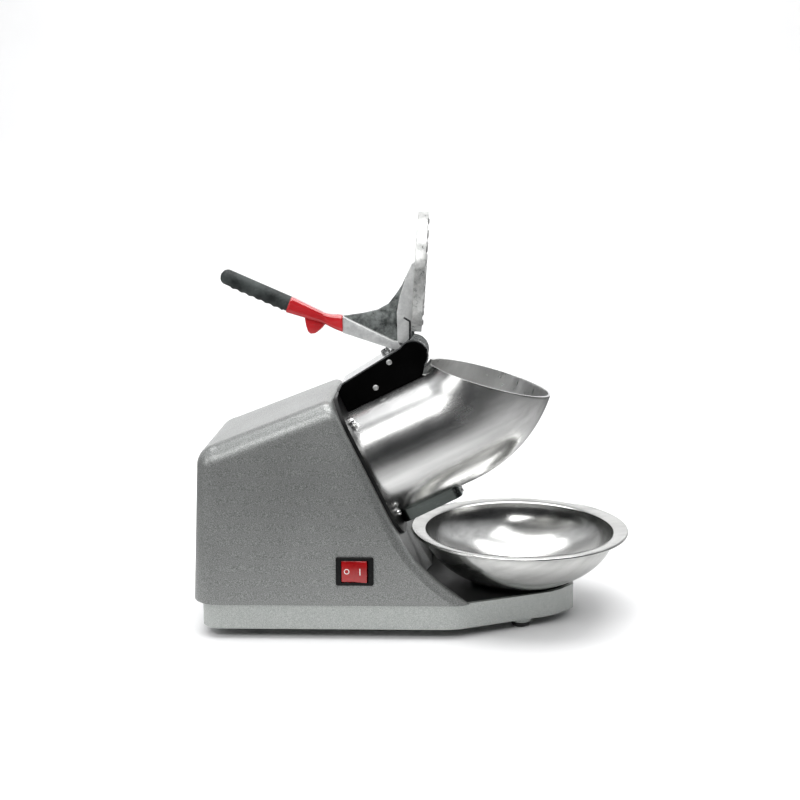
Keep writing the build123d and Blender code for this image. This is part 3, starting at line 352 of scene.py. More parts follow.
def lined_metal(name, shade, roughness, squeeze, turn=(0.0, 0.0, 0.0), depth=0.00001):
    """Ground or turned metal: squeeze is how many lines fit in a metre along each axis."""
    material, tree, shader, place = start_material(name, metallic=1.0)
    lines = noise(tree, stretched(tree, place, squeeze, turn), 1.0, 4.0, 0.65)
    stain = noise(tree, place, 25.0, 3.0)
    tint = graded(tree, lines, (0.3, [value * 0.82 for value in shade]), (0.7, shade))
    stained = mixed(tree, 1.0, tint, graded(tree, stain, (0.3, (0.9,) * 3), (0.7, (1.0,) * 3)), "MULTIPLY")
    set_inputs(tree, shader, {"Base Color": stained, "Roughness": spread(tree, lines, *roughness)})
    rough_surface(tree, shader, (lines, depth))
    return material


def cast_metal(name, dark, light, roughness, grain=900.0, depth=0.00012, blotches=150.0):
    """Sand-cast metal: blotches of two shades under a grainy skin, half matt from its oxide."""
    material, tree, shader, place = start_material(name, metallic=0.55)
    blotch = noise(tree, place, blotches, 8.0, 0.72)
    skin = noise(tree, place, grain, 3.0, 0.6)
    set_inputs(
        tree,
        shader,
        {
            "Base Color": graded(tree, blotch, (0.36, dark), (0.62, light)),
            "Roughness": spread(tree, blotch, *roughness),
        },
    )
    rough_surface(tree, shader, (blotch, depth * 1.5), (skin, depth))
    return material


hopper_outside = polished_sheet("hopper_outside", (0.76, 0.76, 0.75), (0.17, 0.30))
hopper_inside = lined_metal(
    "hopper_inside", (0.90, 0.90, 0.89), (0.24, 0.42), (40.0, 260.0, 40.0), (0, 0.45, 0)
)
bowl_polish = polished_sheet("bowl_polish", (0.64, 0.64, 0.625), (0.15, 0.25), 10.0, 0.00002)
skirt_sheet = polished_sheet("skirt_sheet", (0.17, 0.19, 0.18), (0.20, 0.32))
bright_plating = polished_sheet("bright_plating", (0.86, 0.86, 0.86), (0.06, 0.14), 80.0)
ground_steel = lined_metal("ground_steel", (0.66, 0.67, 0.68), (0.18, 0.30), (2500.0, 90.0, 2500.0))
strip_steel = lined_metal(
    "strip_steel", (0.74, 0.75, 0.75), (0.22, 0.34), (60.0, 1500.0, 1500.0), (0, 0.45, 0)
)
zinc_sheet = lined_metal("zinc_sheet", (0.60, 0.62, 0.63), (0.30, 0.45), (40.0, 500.0, 40.0))
cutter_steel = lined_metal(
    "cutter_steel", (0.68, 0.69, 0.70), (0.20, 0.32), (900.0, 60.0, 900.0), (0, 0.45, 0)
)
rough_casting = cast_metal(
    "rough_casting", (0.05, 0.055, 0.053), (0.25, 0.27, 0.262), (0.34, 0.55), 700.0, 0.00022
)
ground_casting = cast_metal(
    "ground_casting", (0.62, 0.63, 0.625), (0.90, 0.91, 0.90), (0.24, 0.40), 1400.0, 0.00004, 60.0
)
plate_casting = cast_metal(
    "plate_casting", (0.34, 0.35, 0.34), (0.62, 0.62, 0.61), (0.24, 0.40), 1200.0, 0.00006
)
bell_casting = cast_metal("bell_casting", (0.36, 0.37, 0.38), (0.58, 0.59, 0.60), (0.35, 0.5), 700.0)
oiled_wire = lined_metal("oiled_wire", (0.07, 0.07, 0.075), (0.28, 0.42), (300.0, 300.0, 2500.0))


# %% [markdown]
# ## Rubber and plastics
# The soft-touch black parts are matt with a fine pebble, and the red and black mouldings are glossy
# with a faint orange peel, which is what tells injection-moulded plastic from a perfect computer
# surface.

# %% Rubber and plastics
def grained_black(name, dark, light, roughness, grain, depth, shine=0.5):
    """Rubber or textured plastic: two close shades, matt, with a pebbled skin."""
    material, tree, shader, place = start_material(name, specular_ior_level=shine)
    cells = add_node(tree, "TexVoronoi", {"Vector": place, "Scale": grain}, feature="SMOOTH_F1")
    dust = noise(tree, place, 40.0, 5.0, 0.6)
    tint = graded(tree, dust, (0.35, dark), (0.7, light))
    set_inputs(tree, shader, {"Base Color": tint, "Roughness": spread(tree, dust, *roughness)})
    rough_surface(tree, shader, (cells.outputs["Distance"], depth))
    return material


def moulded_gloss(name, deep, bright, roughness=(0.08, 0.18), peel=0.00003, gloss=0.4):
    """Glossy moulding: even colour with slight depth, and a faint orange peel."""
    material, tree, shader, place = start_material(name)
    drift = noise(tree, place, 35.0, 3.0)
    set_inputs(
        tree,
        shader,
        {
            "Base Color": graded(tree, drift, (0.3, deep), (0.7, bright)),
            "Roughness": spread(tree, noise(tree, place, 120.0, 4.0), *roughness),
            "Coat Weight": min(1.0, 2 * gloss),
            "Coat Roughness": 0.06,
            "Specular IOR Level": gloss,
        },
    )
    rough_surface(tree, shader, (noise(tree, place, 260.0, 1.0), peel))
    return material


tray_rubber = grained_black(
    "tray_rubber", (0.010, 0.010, 0.010), (0.035, 0.036, 0.035), (0.42, 0.6), 900.0, 0.00006, shine=0.25
)
seal_rubber = grained_black(
    "seal_rubber", (0.003, 0.003, 0.003), (0.012, 0.012, 0.012), (0.35, 0.55), 1200.0, 0.00004, shine=0.25
)
foot_rubber = grained_black(
    "foot_rubber", (0.015, 0.015, 0.015), (0.045, 0.045, 0.045), (0.5, 0.7), 1000.0, 0.00006
)
cover_black = grained_black(
    "cover_black", (0.0004,) * 3, (0.0014,) * 3, (0.5, 0.65), 1500.0, 0.00003, shine=0.03
)
grip_foam = grained_black(
    "grip_foam", (0.009, 0.012, 0.012), (0.065, 0.076, 0.073), (0.5, 0.7), 430.0, 0.00045, shine=0.35
)
nylon_black = grained_black(
    "nylon_black", (0.012, 0.012, 0.012), (0.03, 0.03, 0.03), (0.4, 0.55), 1400.0, 0.00003
)
nylon_natural = grained_black(
    "nylon_natural", (0.60, 0.58, 0.50), (0.74, 0.72, 0.64), (0.4, 0.55), 900.0, 0.00003
)
sleeve_red = moulded_gloss("sleeve_red", (0.40, 0.010, 0.014), (0.54, 0.020, 0.025), gloss=0.6)
rocker_red = moulded_gloss("rocker_red", (0.20, 0.002, 0.003), (0.38, 0.005, 0.006))
switch_black = moulded_gloss(
    "switch_black", (0.002, 0.002, 0.002), (0.006, 0.006, 0.006), (0.2, 0.3), gloss=0.1
)
case_white = moulded_gloss("case_white", (0.62, 0.62, 0.58), (0.74, 0.74, 0.70), (0.2, 0.3))
mark_white = moulded_gloss("mark_white", (0.78, 0.78, 0.76), (0.88, 0.88, 0.86), (0.25, 0.35))


# %% [markdown]
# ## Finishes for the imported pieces
# Most of the machine's inner and sheet-metal pieces already have the right shape, so they keep their
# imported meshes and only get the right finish. The two patterned ones, stacked laminations and wound
# copper, follow the cutter axis, which leans back by 26 degrees.

# %% Patterned finishes on the cutter axis
tilt = math.radians(26.0)


def banded_metal(name, dark, light, bands, roughness, depth):
    """Metal in thin bands across the cutter axis, such as laminations or wound wire."""
    material, tree, shader, place = start_material(name, metallic=1.0)
    upright = add_node(tree, "Mapping", {"Vector": place, "Rotation": (0, tilt, 0)}).outputs[0]
    wave = add_node(
        tree,
        "TexWave",
        {"Vector": upright, "Scale": bands, "Distortion": 1.5, "Detail": 2.0, "Detail Scale": 0.4},
        bands_direction="X",
    ).outputs["Fac"]
    tint = graded(tree, wave, (0.2, dark), (0.8, light))
    set_inputs(tree, shader, {"Base Color": tint, "Roughness": spread(tree, wave, *roughness)})
    rough_surface(tree, shader, (wave, depth))
    return material


laminations = banded_metal(
    "laminations", (0.10, 0.10, 0.11), (0.34, 0.34, 0.36), 320.0, (0.35, 0.5), 0.00005
)
copper_winding = banded_metal(
    "copper_winding", (0.30, 0.09, 0.03), (0.72, 0.30, 0.13), 220.0, (0.2, 0.35), 0.00015
)
brass_tab = lined_metal("brass_tab", (0.80, 0.62, 0.28), (0.2, 0.3), (60.0, 900.0, 900.0))

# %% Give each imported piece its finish
finish_of = {
    "base_pan": pan_enamel,
    "rubber_feet": foot_rubber,
    "bottom_plate": zinc_sheet,
    "bottom_plate_screws": bright_plating,
    "housing": case_enamel,
    "housing_screws": bright_plating,
    "tray_mat": tray_rubber,
    "gasket": seal_rubber,
    "shaft_seal": seal_rubber,
    "outlet_skirt": skirt_sheet,
    "hinge_bracket": strip_steel,
    "bracket_cover_near": cover_black,
    "bracket_cover_far": cover_black,
    "pivot_pin": ground_steel,
    "mounting_plate": zinc_sheet,
    "motor_front_bell": bell_casting,
    "motor_rear_bell": bell_casting,
    "motor_casing": motor_enamel,
    "motor_bolts": bright_plating,
    "stator_core": laminations,
    "stator_windings": copper_winding,
    "front_bearing": ground_steel,
    "rear_bearing": ground_steel,
    "switch_body": switch_black,
    "switch_tabs": brass_tab,
    "cord_gland": nylon_black,
    "capacitor": case_white,
    "capacitor_clamp": zinc_sheet,
    "terminal_block": nylon_natural,
    "return_spring": oiled_wire,
    "motor_shaft": ground_steel,
    "rotor_core": laminations,
    "cooling_fan": nylon_black,
    "blade_disc": cutter_steel,
    "blades": cutter_steel,
    "disc_nut": bright_plating,
}


for name, finish in finish_of.items():
    nodes[name].data.materials.clear()
    nodes[name].data.materials.append(finish)
print(len(finish_of), "packed pieces have a finish")

# %% [markdown]
# ## Helpers for new pieces
# A new piece starts as an empty bmesh, is shaped by mesh operators, and ends as an object at the
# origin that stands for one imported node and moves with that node's body. Doing all of this in one
# helper means that no piece can be left behind when a joint moves.

# %% Places shared by the new pieces
pivot = Vector((0.0, 0.0, 0.2815))
along = Vector((math.cos(tilt), 0.0, math.sin(tilt)))
upward = Vector((-math.sin(tilt), 0.0, math.cos(tilt)))
across = Vector((0.0, 1.0, 0.0))
sweep_radius = 0.0835
tube_length = 0.086
tube_radius = 0.066
face_centre = pivot - upward * sweep_radius - along * tube_length


def facing(origin, normal, side=across):
    """A matrix that carries a flat shape in XY to a place, with its Z along a normal."""
    normal = Vector(normal).normalized()
    side = (Vector(side) - normal * normal.dot(side)).normalized()
    turned = Matrix((side, normal.cross(side), normal)).transposed().to_4x4()
    return Matrix.Translation(origin) @ turned


def finished(shape, node, body, slot, *finishes, crease=35.0):
    """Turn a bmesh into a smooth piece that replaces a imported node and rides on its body."""
    for face in shape.faces:
        face.smooth = True
    sharp = math.radians(crease)
    for edge in shape.edges:
        edge.smooth = not edge.is_manifold or edge.calc_face_angle() < sharp
    mesh = bpy.data.meshes.new(node + "_look")
    shape.to_mesh(mesh)
    shape.free()
    piece = bpy.data.objects.new(node + "_look", mesh)
    bpy.context.scene.collection.objects.link(piece)
    for finish in finishes:
        mesh.materials.append(finish)
    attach(piece, body)
    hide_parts(node)
    print(piece.name, len(mesh.polygons), "faces")


def soften(shape, width, segments=2, angle=30.0, edges=None):
    """Bevel the edges sharper than an angle, as a casting's or moulding's edges are rounded."""
    sharp = math.radians(angle)
    chosen = [edge for edge in edges or shape.edges if edge.is_manifold and edge.calc_face_angle() > sharp]
    bmesh.ops.bevel(
        shape, geom=chosen, offset=width, offset_type="OFFSET", affect="EDGES", segments=segments,
        profile=0.5, material=-1, clamp_overlap=True,
    )


def new_faces(shape, before):
    """The faces added since a set of faces was taken."""
    return [face for face in shape.faces if face not in before]


# %% [markdown]
# ## Hopper
# The hopper is a spun and welded sheet tube that leans with the motor, bends upwards about the
# lever's hinge, and is cut off by a sloping rim. A curve with a bevel could make the tube, but a
# spin keeps the bend exactly concentric with the hinge, so the swinging plate fits it all the way.
# The lever's slot and the snow slot are cut with planes, and the wall thickness comes last.

# %% Hopper: tube, bend, rim and slots
tube_wall = 0.0025
rim_slope = math.radians(15.2)
bend_arc = math.radians(90.0) - tilt - rim_slope + math.radians(8.0)
rim_normal = Vector((math.sin(rim_slope), 0.0, math.cos(rim_slope)))
rim_point = pivot - rim_normal * 0.005

tube = bmesh.new()
bmesh.ops.create_circle(tube, segments=128, radius=tube_radius, matrix=facing(face_centre, along))
ring = list(tube.edges)
straight = bmesh.ops.spin(
    tube, geom=ring, cent=face_centre, axis=across, dvec=along * (tube_length / 12), angle=0.0, steps=12
)
ring = [item for item in straight["geom_last"] if isinstance(item, bmesh.types.BMEdge)]
bmesh.ops.spin(tube, geom=ring, cent=pivot, axis=-across, angle=bend_arc, steps=40)


def everything(shape):
    """All vertices, edges and faces of a bmesh."""
    return shape.verts[:] + shape.edges[:] + shape.faces[:]


bmesh.ops.bisect_plane(
    tube, geom=everything(tube), plane_co=rim_point, plane_no=rim_normal, clear_outer=True, dist=1e-6
)


def cut_window(shape, start, length, half_width, low, high):
    """Cut a rectangular window in a wall; its box is given along, across and up the cutter axis."""
    planes = (
        (along * start, along), (along * (start + length), along), (across * half_width, across),
        (-across * half_width, across), (upward * low, upward), (upward * high, upward),
    )
    for offset, normal in planes:
        bmesh.ops.bisect_plane(
            shape, geom=everything(shape), plane_co=face_centre + offset, plane_no=normal, dist=1e-6
        )
    inside = []
    for face in shape.faces:
        place = face.calc_center_median() - face_centre
        if start < place.dot(along) < start + length and abs(place.y) < half_width:
            if low < place.dot(upward) < high:
                inside.append(face)
    bmesh.ops.delete(shape, geom=inside, context="FACES")


lever_slot = {"start": 0.0735, "length": 0.2, "half_width": 0.018, "low": 0.060, "high": 0.120}
snow_slot = {"start": 0.006, "length": 0.050, "half_width": 0.024, "low": -0.080, "high": -0.050}
cut_window(tube, **lever_slot)
cut_window(tube, **snow_slot)
bmesh.ops.recalc_face_normals(tube, faces=tube.faces)
outward_count = sum(face.normal.dot(face.calc_center_median() - pivot) > 0 for face in tube.faces)
if outward_count * 2 < len(tube.faces):
    bmesh.ops.reverse_faces(tube, faces=tube.faces)
bmesh.ops.solidify(tube, geom=list(tube.faces), thickness=tube_wall)
print("hopper shell", len(tube.faces), "faces")


# %% Hopper: mounting ears, and its two finishes
def path_radius(place):
    """How far a point lies from the middle line of the hopper's tube and bend."""
    offset = place - face_centre
    if offset.dot(along) < tube_length:
        return math.hypot(place.y, offset.dot(upward))
    reach = place - pivot
    return math.hypot(place.y, math.hypot(reach.x, reach.z) - sweep_radius)


widest = max(path_radius(vertex.co) for vertex in tube.verts)
if widest > tube_radius + tube_wall / 2:
    raise SystemExit("the hopper's wall grew outwards")
for face in tube.faces:
    if path_radius(face.calc_center_median()) < tube_radius - tube_wall + 0.0005:
        face.material_index = 1

ear_circle, ear_radius = 0.0695, 0.0059
ear_turns = [math.radians(angle) for angle in (48, 132, 228, 312)]
for turn in ear_turns:
    middle = face_centre + (across * math.cos(turn) + upward * math.sin(turn)) * ear_circle
    bmesh.ops.create_cone(
        tube, cap_ends=True, segments=32, radius1=ear_radius, radius2=ear_radius, depth=tube_wall,
        matrix=facing(middle + along * tube_wall / 2, along),
    )
rim_edges = [
    edge for edge in tube.edges
    if edge.is_manifold and edge.calc_face_angle() > math.radians(60)
    and abs((edge.verts[0].co - rim_point).dot(rim_normal)) < 0.0004
]
bmesh.ops.bevel(
    tube, geom=rim_edges, offset=0.0007, offset_type="OFFSET", affect="EDGES", segments=2, profile=0.5,
    material=-1, clamp_overlap=True,
)
finished(tube, "hopper", "frame", "hopper_metal", hopper_outside, hopper_inside)

# %% [markdown]
# ## Screws
# All the bright fastenings are pan-head screws with a cross recess, in a few sizes. One head is
# modelled at a radius of one, and a copy is scaled and turned to each place. The recess is made by
# slicing the flat top with planes and sinking the cross that the slices outline.

# %% One screw head, then every screw
head_height, slot_half, slot_reach = 0.6, 0.11, 0.5


def screw_head_mesh():
    """A pan head of radius 1, standing on the origin, with a cross recess."""
    head = bmesh.new()
    bmesh.ops.create_cone(
        head, cap_ends=True, segments=28, radius1=1.0, radius2=0.92, depth=head_height,
        matrix=Matrix.Translation((0, 0, head_height / 2)),
    )
    top = head_height - 0.01
    crown = [edge for edge in head.edges if min(vertex.co.z for vertex in edge.verts) > top]
    bmesh.ops.bevel(
        head, geom=crown, offset=0.26, offset_type="OFFSET", affect="EDGES", segments=4, profile=0.5,
        material=-1, clamp_overlap=True,
    )
    for reach in (slot_half, -slot_half, slot_reach, -slot_reach):
        for axis in (Vector((1, 0, 0)), Vector((0, 1, 0))):
            bmesh.ops.bisect_plane(
                head, geom=everything(head), plane_co=axis * reach, plane_no=axis, dist=1e-6
            )
    cross = []
    for face in head.faces:
        x, y, z = face.calc_center_median()
        if z > top and min(abs(x), abs(y)) < slot_half and max(abs(x), abs(y)) < slot_reach:
            cross.append(face)
    bmesh.ops.inset_region(head, faces=cross, thickness=0.02, depth=-0.3)
    mesh = bpy.data.meshes.new("screw_head")
    head.to_mesh(mesh)
    head.free()
    return mesh


head_mesh = screw_head_mesh()


def add_head(shape, place, normal, radius, height, spin=0.3):
    """Set one screw head on a surface."""
    one = head_mesh.copy()
    size = Matrix.Diagonal((radius, radius, height / head_height, 1.0))
    one.transform(facing(place, normal) @ Matrix.Rotation(spin, 4, "Z") @ size)
    shape.from_mesh(one)
    bpy.data.meshes.remove(one)


def screw_set(node, body, slot, radius, height, seats):
    """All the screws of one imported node; seats are (place, direction) pairs."""
    shape = bmesh.new()
    for number, (place, normal) in enumerate(seats):
        add_head(shape, place, normal, radius, height, spin=0.4 + 1.1 * number)
    finished(shape, node, body, slot, bright_plating)


def on_axis(station, side, height):
    """A point given along the cutter axis, across it and up from it, in metres."""
    return face_centre + along * station + across * side + upward * height


screw_circle = 0.0715
ear_seats = [
    (on_axis(tube_wall, screw_circle * math.cos(turn), screw_circle * math.sin(turn)), along)
    for turn in ear_turns
]
screw_set("hopper_screws", "frame", "chrome_screws", 0.0038, 0.0024, ear_seats)
skirt_seats = [(on_axis(0.068, side, -0.0685), along) for side in (-0.015, 0.015)]
screw_set("skirt_screws", "frame", "chrome_screws", 0.0024, 0.0020, skirt_seats)
flange_seats = [(on_axis(0.0025, side, 0.0755), along) for side in (-0.012, 0.012)]
screw_set("bracket_screws", "frame", "chrome_screws", 0.0040, 0.0024, flange_seats)

# %% [markdown]
# ## Bowl
# The loose bowl is spun from thin stainless sheet: a small flat foot, a rounded side, a crisp step at
# the mouth, and a wide sloping lip with a rolled bead. Spinning a profile is how it is really made,
# and it is also the neatest way here. The profile is one line, so the wall thickness is added after.

# %% Bowl
bowl_centre = Vector((0.112, 0.0, 0.0))
foot_radius, mouth_radius, lip_radius = 0.046, 0.101, 0.1134
foot_level, mouth_level, lip_level = 0.036, 0.0905, 0.0924
bowl_wall, bead_radius = 0.0012, 0.0016


def bowl_profile():
    """Radius and height of points from the foot's middle to the lip, on a rounded side."""
    points = [(radius, foot_level) for radius in (0.0, 0.015, 0.032, foot_radius - 0.004)]
    start = Vector((foot_radius, foot_level + 0.0006))
    bulge = Vector((0.0862, 0.0604))
    end = Vector((mouth_radius, mouth_level))
    for step in range(21):
        t = step / 20
        place = start * (1 - t) ** 2 + (bulge * 2 - (start + end) / 2) * 2 * t * (1 - t) + end * t**2
        points.append(tuple(place))
    points += [(mouth_radius + 0.0012, mouth_level + 0.0009), (lip_radius - 0.004, lip_level - 0.0002)]
    points.append((lip_radius, lip_level))
    return points


bowl = bmesh.new()
chain = [bowl.verts.new(bowl_centre + Vector((radius, 0, level))) for radius, level in bowl_profile()]
links = [bowl.edges.new(pair) for pair in zip(chain, chain[1:])]
bmesh.ops.spin(
    bowl, geom=chain + links, cent=bowl_centre, axis=(0, 0, 1), angle=math.tau, steps=128,
    use_merge=True,
)
bmesh.ops.remove_doubles(bowl, verts=bowl.verts, dist=1e-6)
bmesh.ops.recalc_face_normals(bowl, faces=bowl.faces)
lowest = min(bowl.faces, key=lambda face: face.calc_center_median().z)
if lowest.normal.z > 0:
    bmesh.ops.reverse_faces(bowl, faces=bowl.faces)
bmesh.ops.solidify(bowl, geom=list(bowl.faces), thickness=bowl_wall)
wall_faces = set(bowl.faces)
bead = bmesh.ops.create_circle(
    bowl, segments=14, radius=bead_radius,
    matrix=facing(bowl_centre + Vector((lip_radius, 0, lip_level)), across, (1, 0, 0)),
)
bead_links = list({edge for vertex in bead["verts"] for edge in vertex.link_edges})
bmesh.ops.spin(
    bowl, geom=bead_links, cent=bowl_centre, axis=(0, 0, 1), angle=math.tau, steps=128,
    use_merge=True,
)
bmesh.ops.recalc_face_normals(bowl, faces=new_faces(bowl, wall_faces))
print("bowl stands at", round(min(vertex.co.z for vertex in bowl.verts), 4))
finished(bowl, "bowl", "bowl", "bowl_steel", bowl_polish)

# %% [markdown]
# ## Lever casting
# The lever is one aluminium casting: a hub on the hinge pin, a bar out to the handle, a flat rib up
# the back of the press plate, and a thin web that ties bar and rib together. The flanks of bar and
# rib are ground bright, and the web is left rough from the sand. Each part is an outline given
# thickness, then its edges are rounded.

# %% Lever casting
def slab(shape, outline, half_width, finish_number=0):
    """A plate that stands in the side view: its outline in mm, its thickness across the machine."""
    before = set(shape.faces)
    corners = [shape.verts.new((x / 1000, -half_width, z / 1000)) for x, z in outline]
    face = shape.faces.new(corners)
    pushed = bmesh.ops.extrude_face_region(shape, geom=[face])["geom"]
    moved = [item for item in pushed if isinstance(item, bmesh.types.BMVert)]
    bmesh.ops.translate(shape, verts=moved, vec=(0, 2 * half_width, 0))
    made = new_faces(shape, before)
    bmesh.ops.recalc_face_normals(shape, faces=made)
    for item in made:
        item.material_index = finish_number
    return made


def rod(shape, start, end, radius, segments=40, finish_number=0):
    """A closed round bar between two points."""
    before = set(shape.faces)
    start, run = Vector(start), Vector(end) - Vector(start)
    side = across if abs(run.normalized().y) < 0.9 else Vector((1, 0, 0))
    bmesh.ops.create_cone(
        shape, cap_ends=True, segments=segments, radius1=radius, radius2=radius, depth=run.length,
        matrix=facing(start + run / 2, run, side),
    )
    for item in new_faces(shape, before):
        item.material_index = finish_number


plate_turn = math.radians(86.5)
plate_along = Vector((math.cos(plate_turn), 0.0, math.sin(plate_turn)))
plate_normal = Vector((math.sin(plate_turn), 0.0, -math.cos(plate_turn)))
plate_back = pivot + plate_along * sweep_radius - plate_normal * 0.0035

arm_half_width, web_half_width = 0.009, 0.0025
lever = bmesh.new()
bar = [(0, 276.0), (-14, 283.0), (-73.0, 302.5), (-73.0, 319.5), (-20, 294.0), (0, 291.5)]
slab(lever, bar, arm_half_width)
back_at = [(plate_back + plate_along * reach) * 1000 for reach in (-0.0835, 0.0115)]
rib = [(-16.5, 292), (-17, 324), (-14, 340), (-7.3, 361), (-1.5, 374), (back_at[1].x, back_at[1].z)]
slab(lever, [*rib, (back_at[0].x, back_at[0].z), (-10, 284)], arm_half_width)
web = [(-73, 319.5), (-52, 322.5), (-37, 326), (-26, 332), (-18.5, 341.5), (-12, 351), (-6, 364)]
slab(lever, [*web, (0.5, 376.0), (1.0, 300), (-10, 288), (-20, 294)], web_half_width, 1)
rod(lever, pivot - across * 0.014, pivot + across * 0.014, 0.011)
soften(lever, 0.0009, 2, 28.0)
rod(lever, (-0.0165, -0.0027, 0.310), (-0.0165, 0.0027, 0.310), 0.0019, 20, 2)
finished(lever, "lever_arm", "lever", "lever_casting", ground_casting, rough_casting, seal_rubber)

# %% [markdown]
# ## Press plate
# The plate pushes ice against the blades, so its face is cast with rows of blunt pyramids that stop
# the ice from turning. The disc is a cylinder with rounded rims, and each tooth is a four-sided cone
# with its tip cut off.

# %% Press plate
plate = bmesh.new()
plate_frame = facing(plate_back, plate_normal, across)
plate_radius, plate_thickness, rim_height, rim_width = 0.0615, 0.007, 0.004, 0.0035
overall = plate_thickness + rim_height
bmesh.ops.create_cone(
    plate, cap_ends=True, segments=128, radius1=plate_radius, radius2=plate_radius, depth=overall,
    matrix=plate_frame @ Matrix.Translation((0, 0, overall / 2)),
)
front = max(plate.faces, key=lambda face: (face.calc_center_median() - plate_back).dot(plate_normal))
bmesh.ops.inset_region(plate, faces=[front], thickness=rim_width)
bmesh.ops.translate(plate, verts=front.verts, vec=plate_normal * -rim_height)
soften(plate, 0.0009, 3, 50.0)
tooth_pitch, tooth_base, tooth_height = 0.0130, 0.0110, 0.005
tooth_turn = Matrix.Rotation(math.radians(45), 4, "Z")
screw_rows = (-0.038, -0.012)
for column in range(-4, 5):
    for row in range(-4, 5):
        x, y = column * tooth_pitch, row * tooth_pitch
        near_screw = abs(x) < 0.008 and min(abs(y - screw_row) for screw_row in screw_rows) < 0.0108
        if math.hypot(x, y) < plate_radius - tooth_base * 0.8 and not near_screw:
            seat = Matrix.Translation((x, y, plate_thickness + tooth_height / 2))
            bmesh.ops.create_cone(
                plate, cap_ends=True, segments=4, radius1=tooth_base * 0.70, radius2=tooth_base * 0.30,
                depth=tooth_height, matrix=plate_frame @ seat @ tooth_turn,
            )
teeth = [
    edge for edge in plate.edges
    if max((vertex.co - plate_back).dot(plate_normal) for vertex in edge.verts) > overall + 0.0005
]
soften(plate, 0.0007, 2, 20.0, teeth)
finished(plate, "press_plate", "lever", "plate_casting", plate_casting)
plate_seats = [(plate_frame @ Vector((0, row, plate_thickness)), plate_normal) for row in screw_rows]
screw_set("plate_screws", "lever", "plated_screws", 0.0050, 0.0030, plate_seats)


# %% [markdown]
# ## Handle
# The handle is a steel core in two mouldings: a glossy red sleeve that swells towards the casting
# and has a thumb lug beneath, and a black foam grip with finger waves on its underside. Both are
# lofted: rounded rings are set along the core, then bridged, which follows their changing section
# better than a scaled cylinder would.

# %% Lofted handle pieces
def add_ring(shape, middle, direction, half_width, half_height, roundness, drop=0.0, segments=40):
    """A rounded-rectangle ring of edges; a roundness of 2 is an ellipse and larger is squarer."""
    ring = bmesh.ops.create_circle(shape, segments=segments, radius=1.0)["verts"]
    for vertex in ring:
        x, y = vertex.co.x, vertex.co.y
        power = (abs(x) ** roundness + abs(y) ** roundness) ** (1 / roundness)
        vertex.co = Vector((x / power * half_width, y / power * half_height, 0))
        if vertex.co.y > 0:
            vertex.co.y += drop * vertex.co.y / half_height
    bmesh.ops.transform(shape, matrix=facing(middle, direction), verts=ring)
    return list({edge for vertex in ring for edge in vertex.link_edges})


def loft(shape, rings):
    """Bridge each ring to the next, then close both ends."""
    for first, second in zip(rings, rings[1:]):
        bmesh.ops.bridge_loops(shape, edges=first + second)
    for ring in (rings[0], rings[-1]):
        bmesh.ops.contextual_create(shape, geom=ring)


def in_side_view(x, z):
    """A point on the machine's mid-plane from side-view millimetres."""
    return Vector((x / 1000, 0.0, z / 1000))


arm_end = in_side_view(-73, 311.5)
sleeve_end = in_side_view(-129, 331.7)
grip_end = in_side_view(-199, 362.5)
sleeve_run, grip_run = sleeve_end - arm_end, grip_end - sleeve_end
sleeve_way, grip_way = sleeve_run.normalized(), grip_run.normalized()
joint_way = (sleeve_way + grip_way).normalized()

sleeve = bmesh.new()
rings = []
ring_count = 24
waist_at = 0.37
for step in range(ring_count + 1):
    t = step / ring_count
    waist = min(t / waist_at, (1 - t) / (1 - waist_at))
    waist = waist * waist * (3 - 2 * waist) if t < waist_at else waist
    way = Vector((-1, 0, 0)).lerp(sleeve_way, min(1.0, 5 * t)).lerp(joint_way, max(0.0, 5 * t - 4))
    middle = arm_end + sleeve_run * t - Vector((0, 0, 0.0012)) * waist
    half_width, half_height = 0.0098 - 0.0018 * waist, 0.0087 - 0.0033 * waist
    rings.append(add_ring(sleeve, middle, way, half_width, half_height, 4.5))
loft(sleeve, rings)
lug = [(-90.5, 312.0), (-94.5, 307.2), (-98.5, 303.8), (-102.5, 301.2), (-107.0, 300.9)]
lug += [(-109.8, 303.5), (-111.5, 309.0), (-113.0, 318.0), (-92.0, 316.0)]
lug_faces = slab(sleeve, lug, 0.0040)
lug_edges = list({edge for face in lug_faces for edge in face.edges})
soften(sleeve, 0.0011, 3, 20.0, lug_edges)
end_edges = [edge for ring in (rings[0], rings[-1]) for edge in ring]
soften(sleeve, 0.0008, 2, 40.0, end_edges)
bmesh.ops.recalc_face_normals(sleeve, faces=sleeve.faces)
finished(sleeve, "handle_sleeve", "lever", "sleeve_red", sleeve_red, crease=50.0)

# %% Grip with finger waves
grip = bmesh.new()
rings = []
ring_count = 66
grip_half_width, grip_half_height = 0.0088, 0.0082
end_length, wave_length, wave_height = 0.007, 0.0092, 0.0009
for step in range(ring_count + 1):
    t = step / ring_count
    reach = grip_run.length * t
    into_end = reach - grip_run.length + end_length
    dome, wave = 1.0, 0.0
    if into_end > 0:
        dome = max(0.12, math.sqrt(max(0.0, 1 - (into_end / 0.0071) ** 2)))
    if 0.004 < reach < 0.062:
        wave = wave_height * (0.5 - 0.5 * math.cos(reach / wave_length * math.tau))
    way = joint_way.lerp(grip_way, min(1.0, 6 * t))
    middle = sleeve_end + grip_way * reach
    half_width, half_height = grip_half_width * dome, grip_half_height * dome
    rings.append(add_ring(grip, middle, way, half_width, half_height, 2.3, drop=wave * 1.2 - 0.0004))
loft(grip, rings)
bmesh.ops.recalc_face_normals(grip, faces=grip.faces)
finished(grip, "hand_grip", "lever", "grip_black", grip_foam, crease=50.0)

# %% [markdown]
# ## Hinge bracket dressings
# Domed rivets hold the two black covers, and the resting lever lies on the stop screw, a cap screw
# that stands in its nut. They are small, but they catch the light.

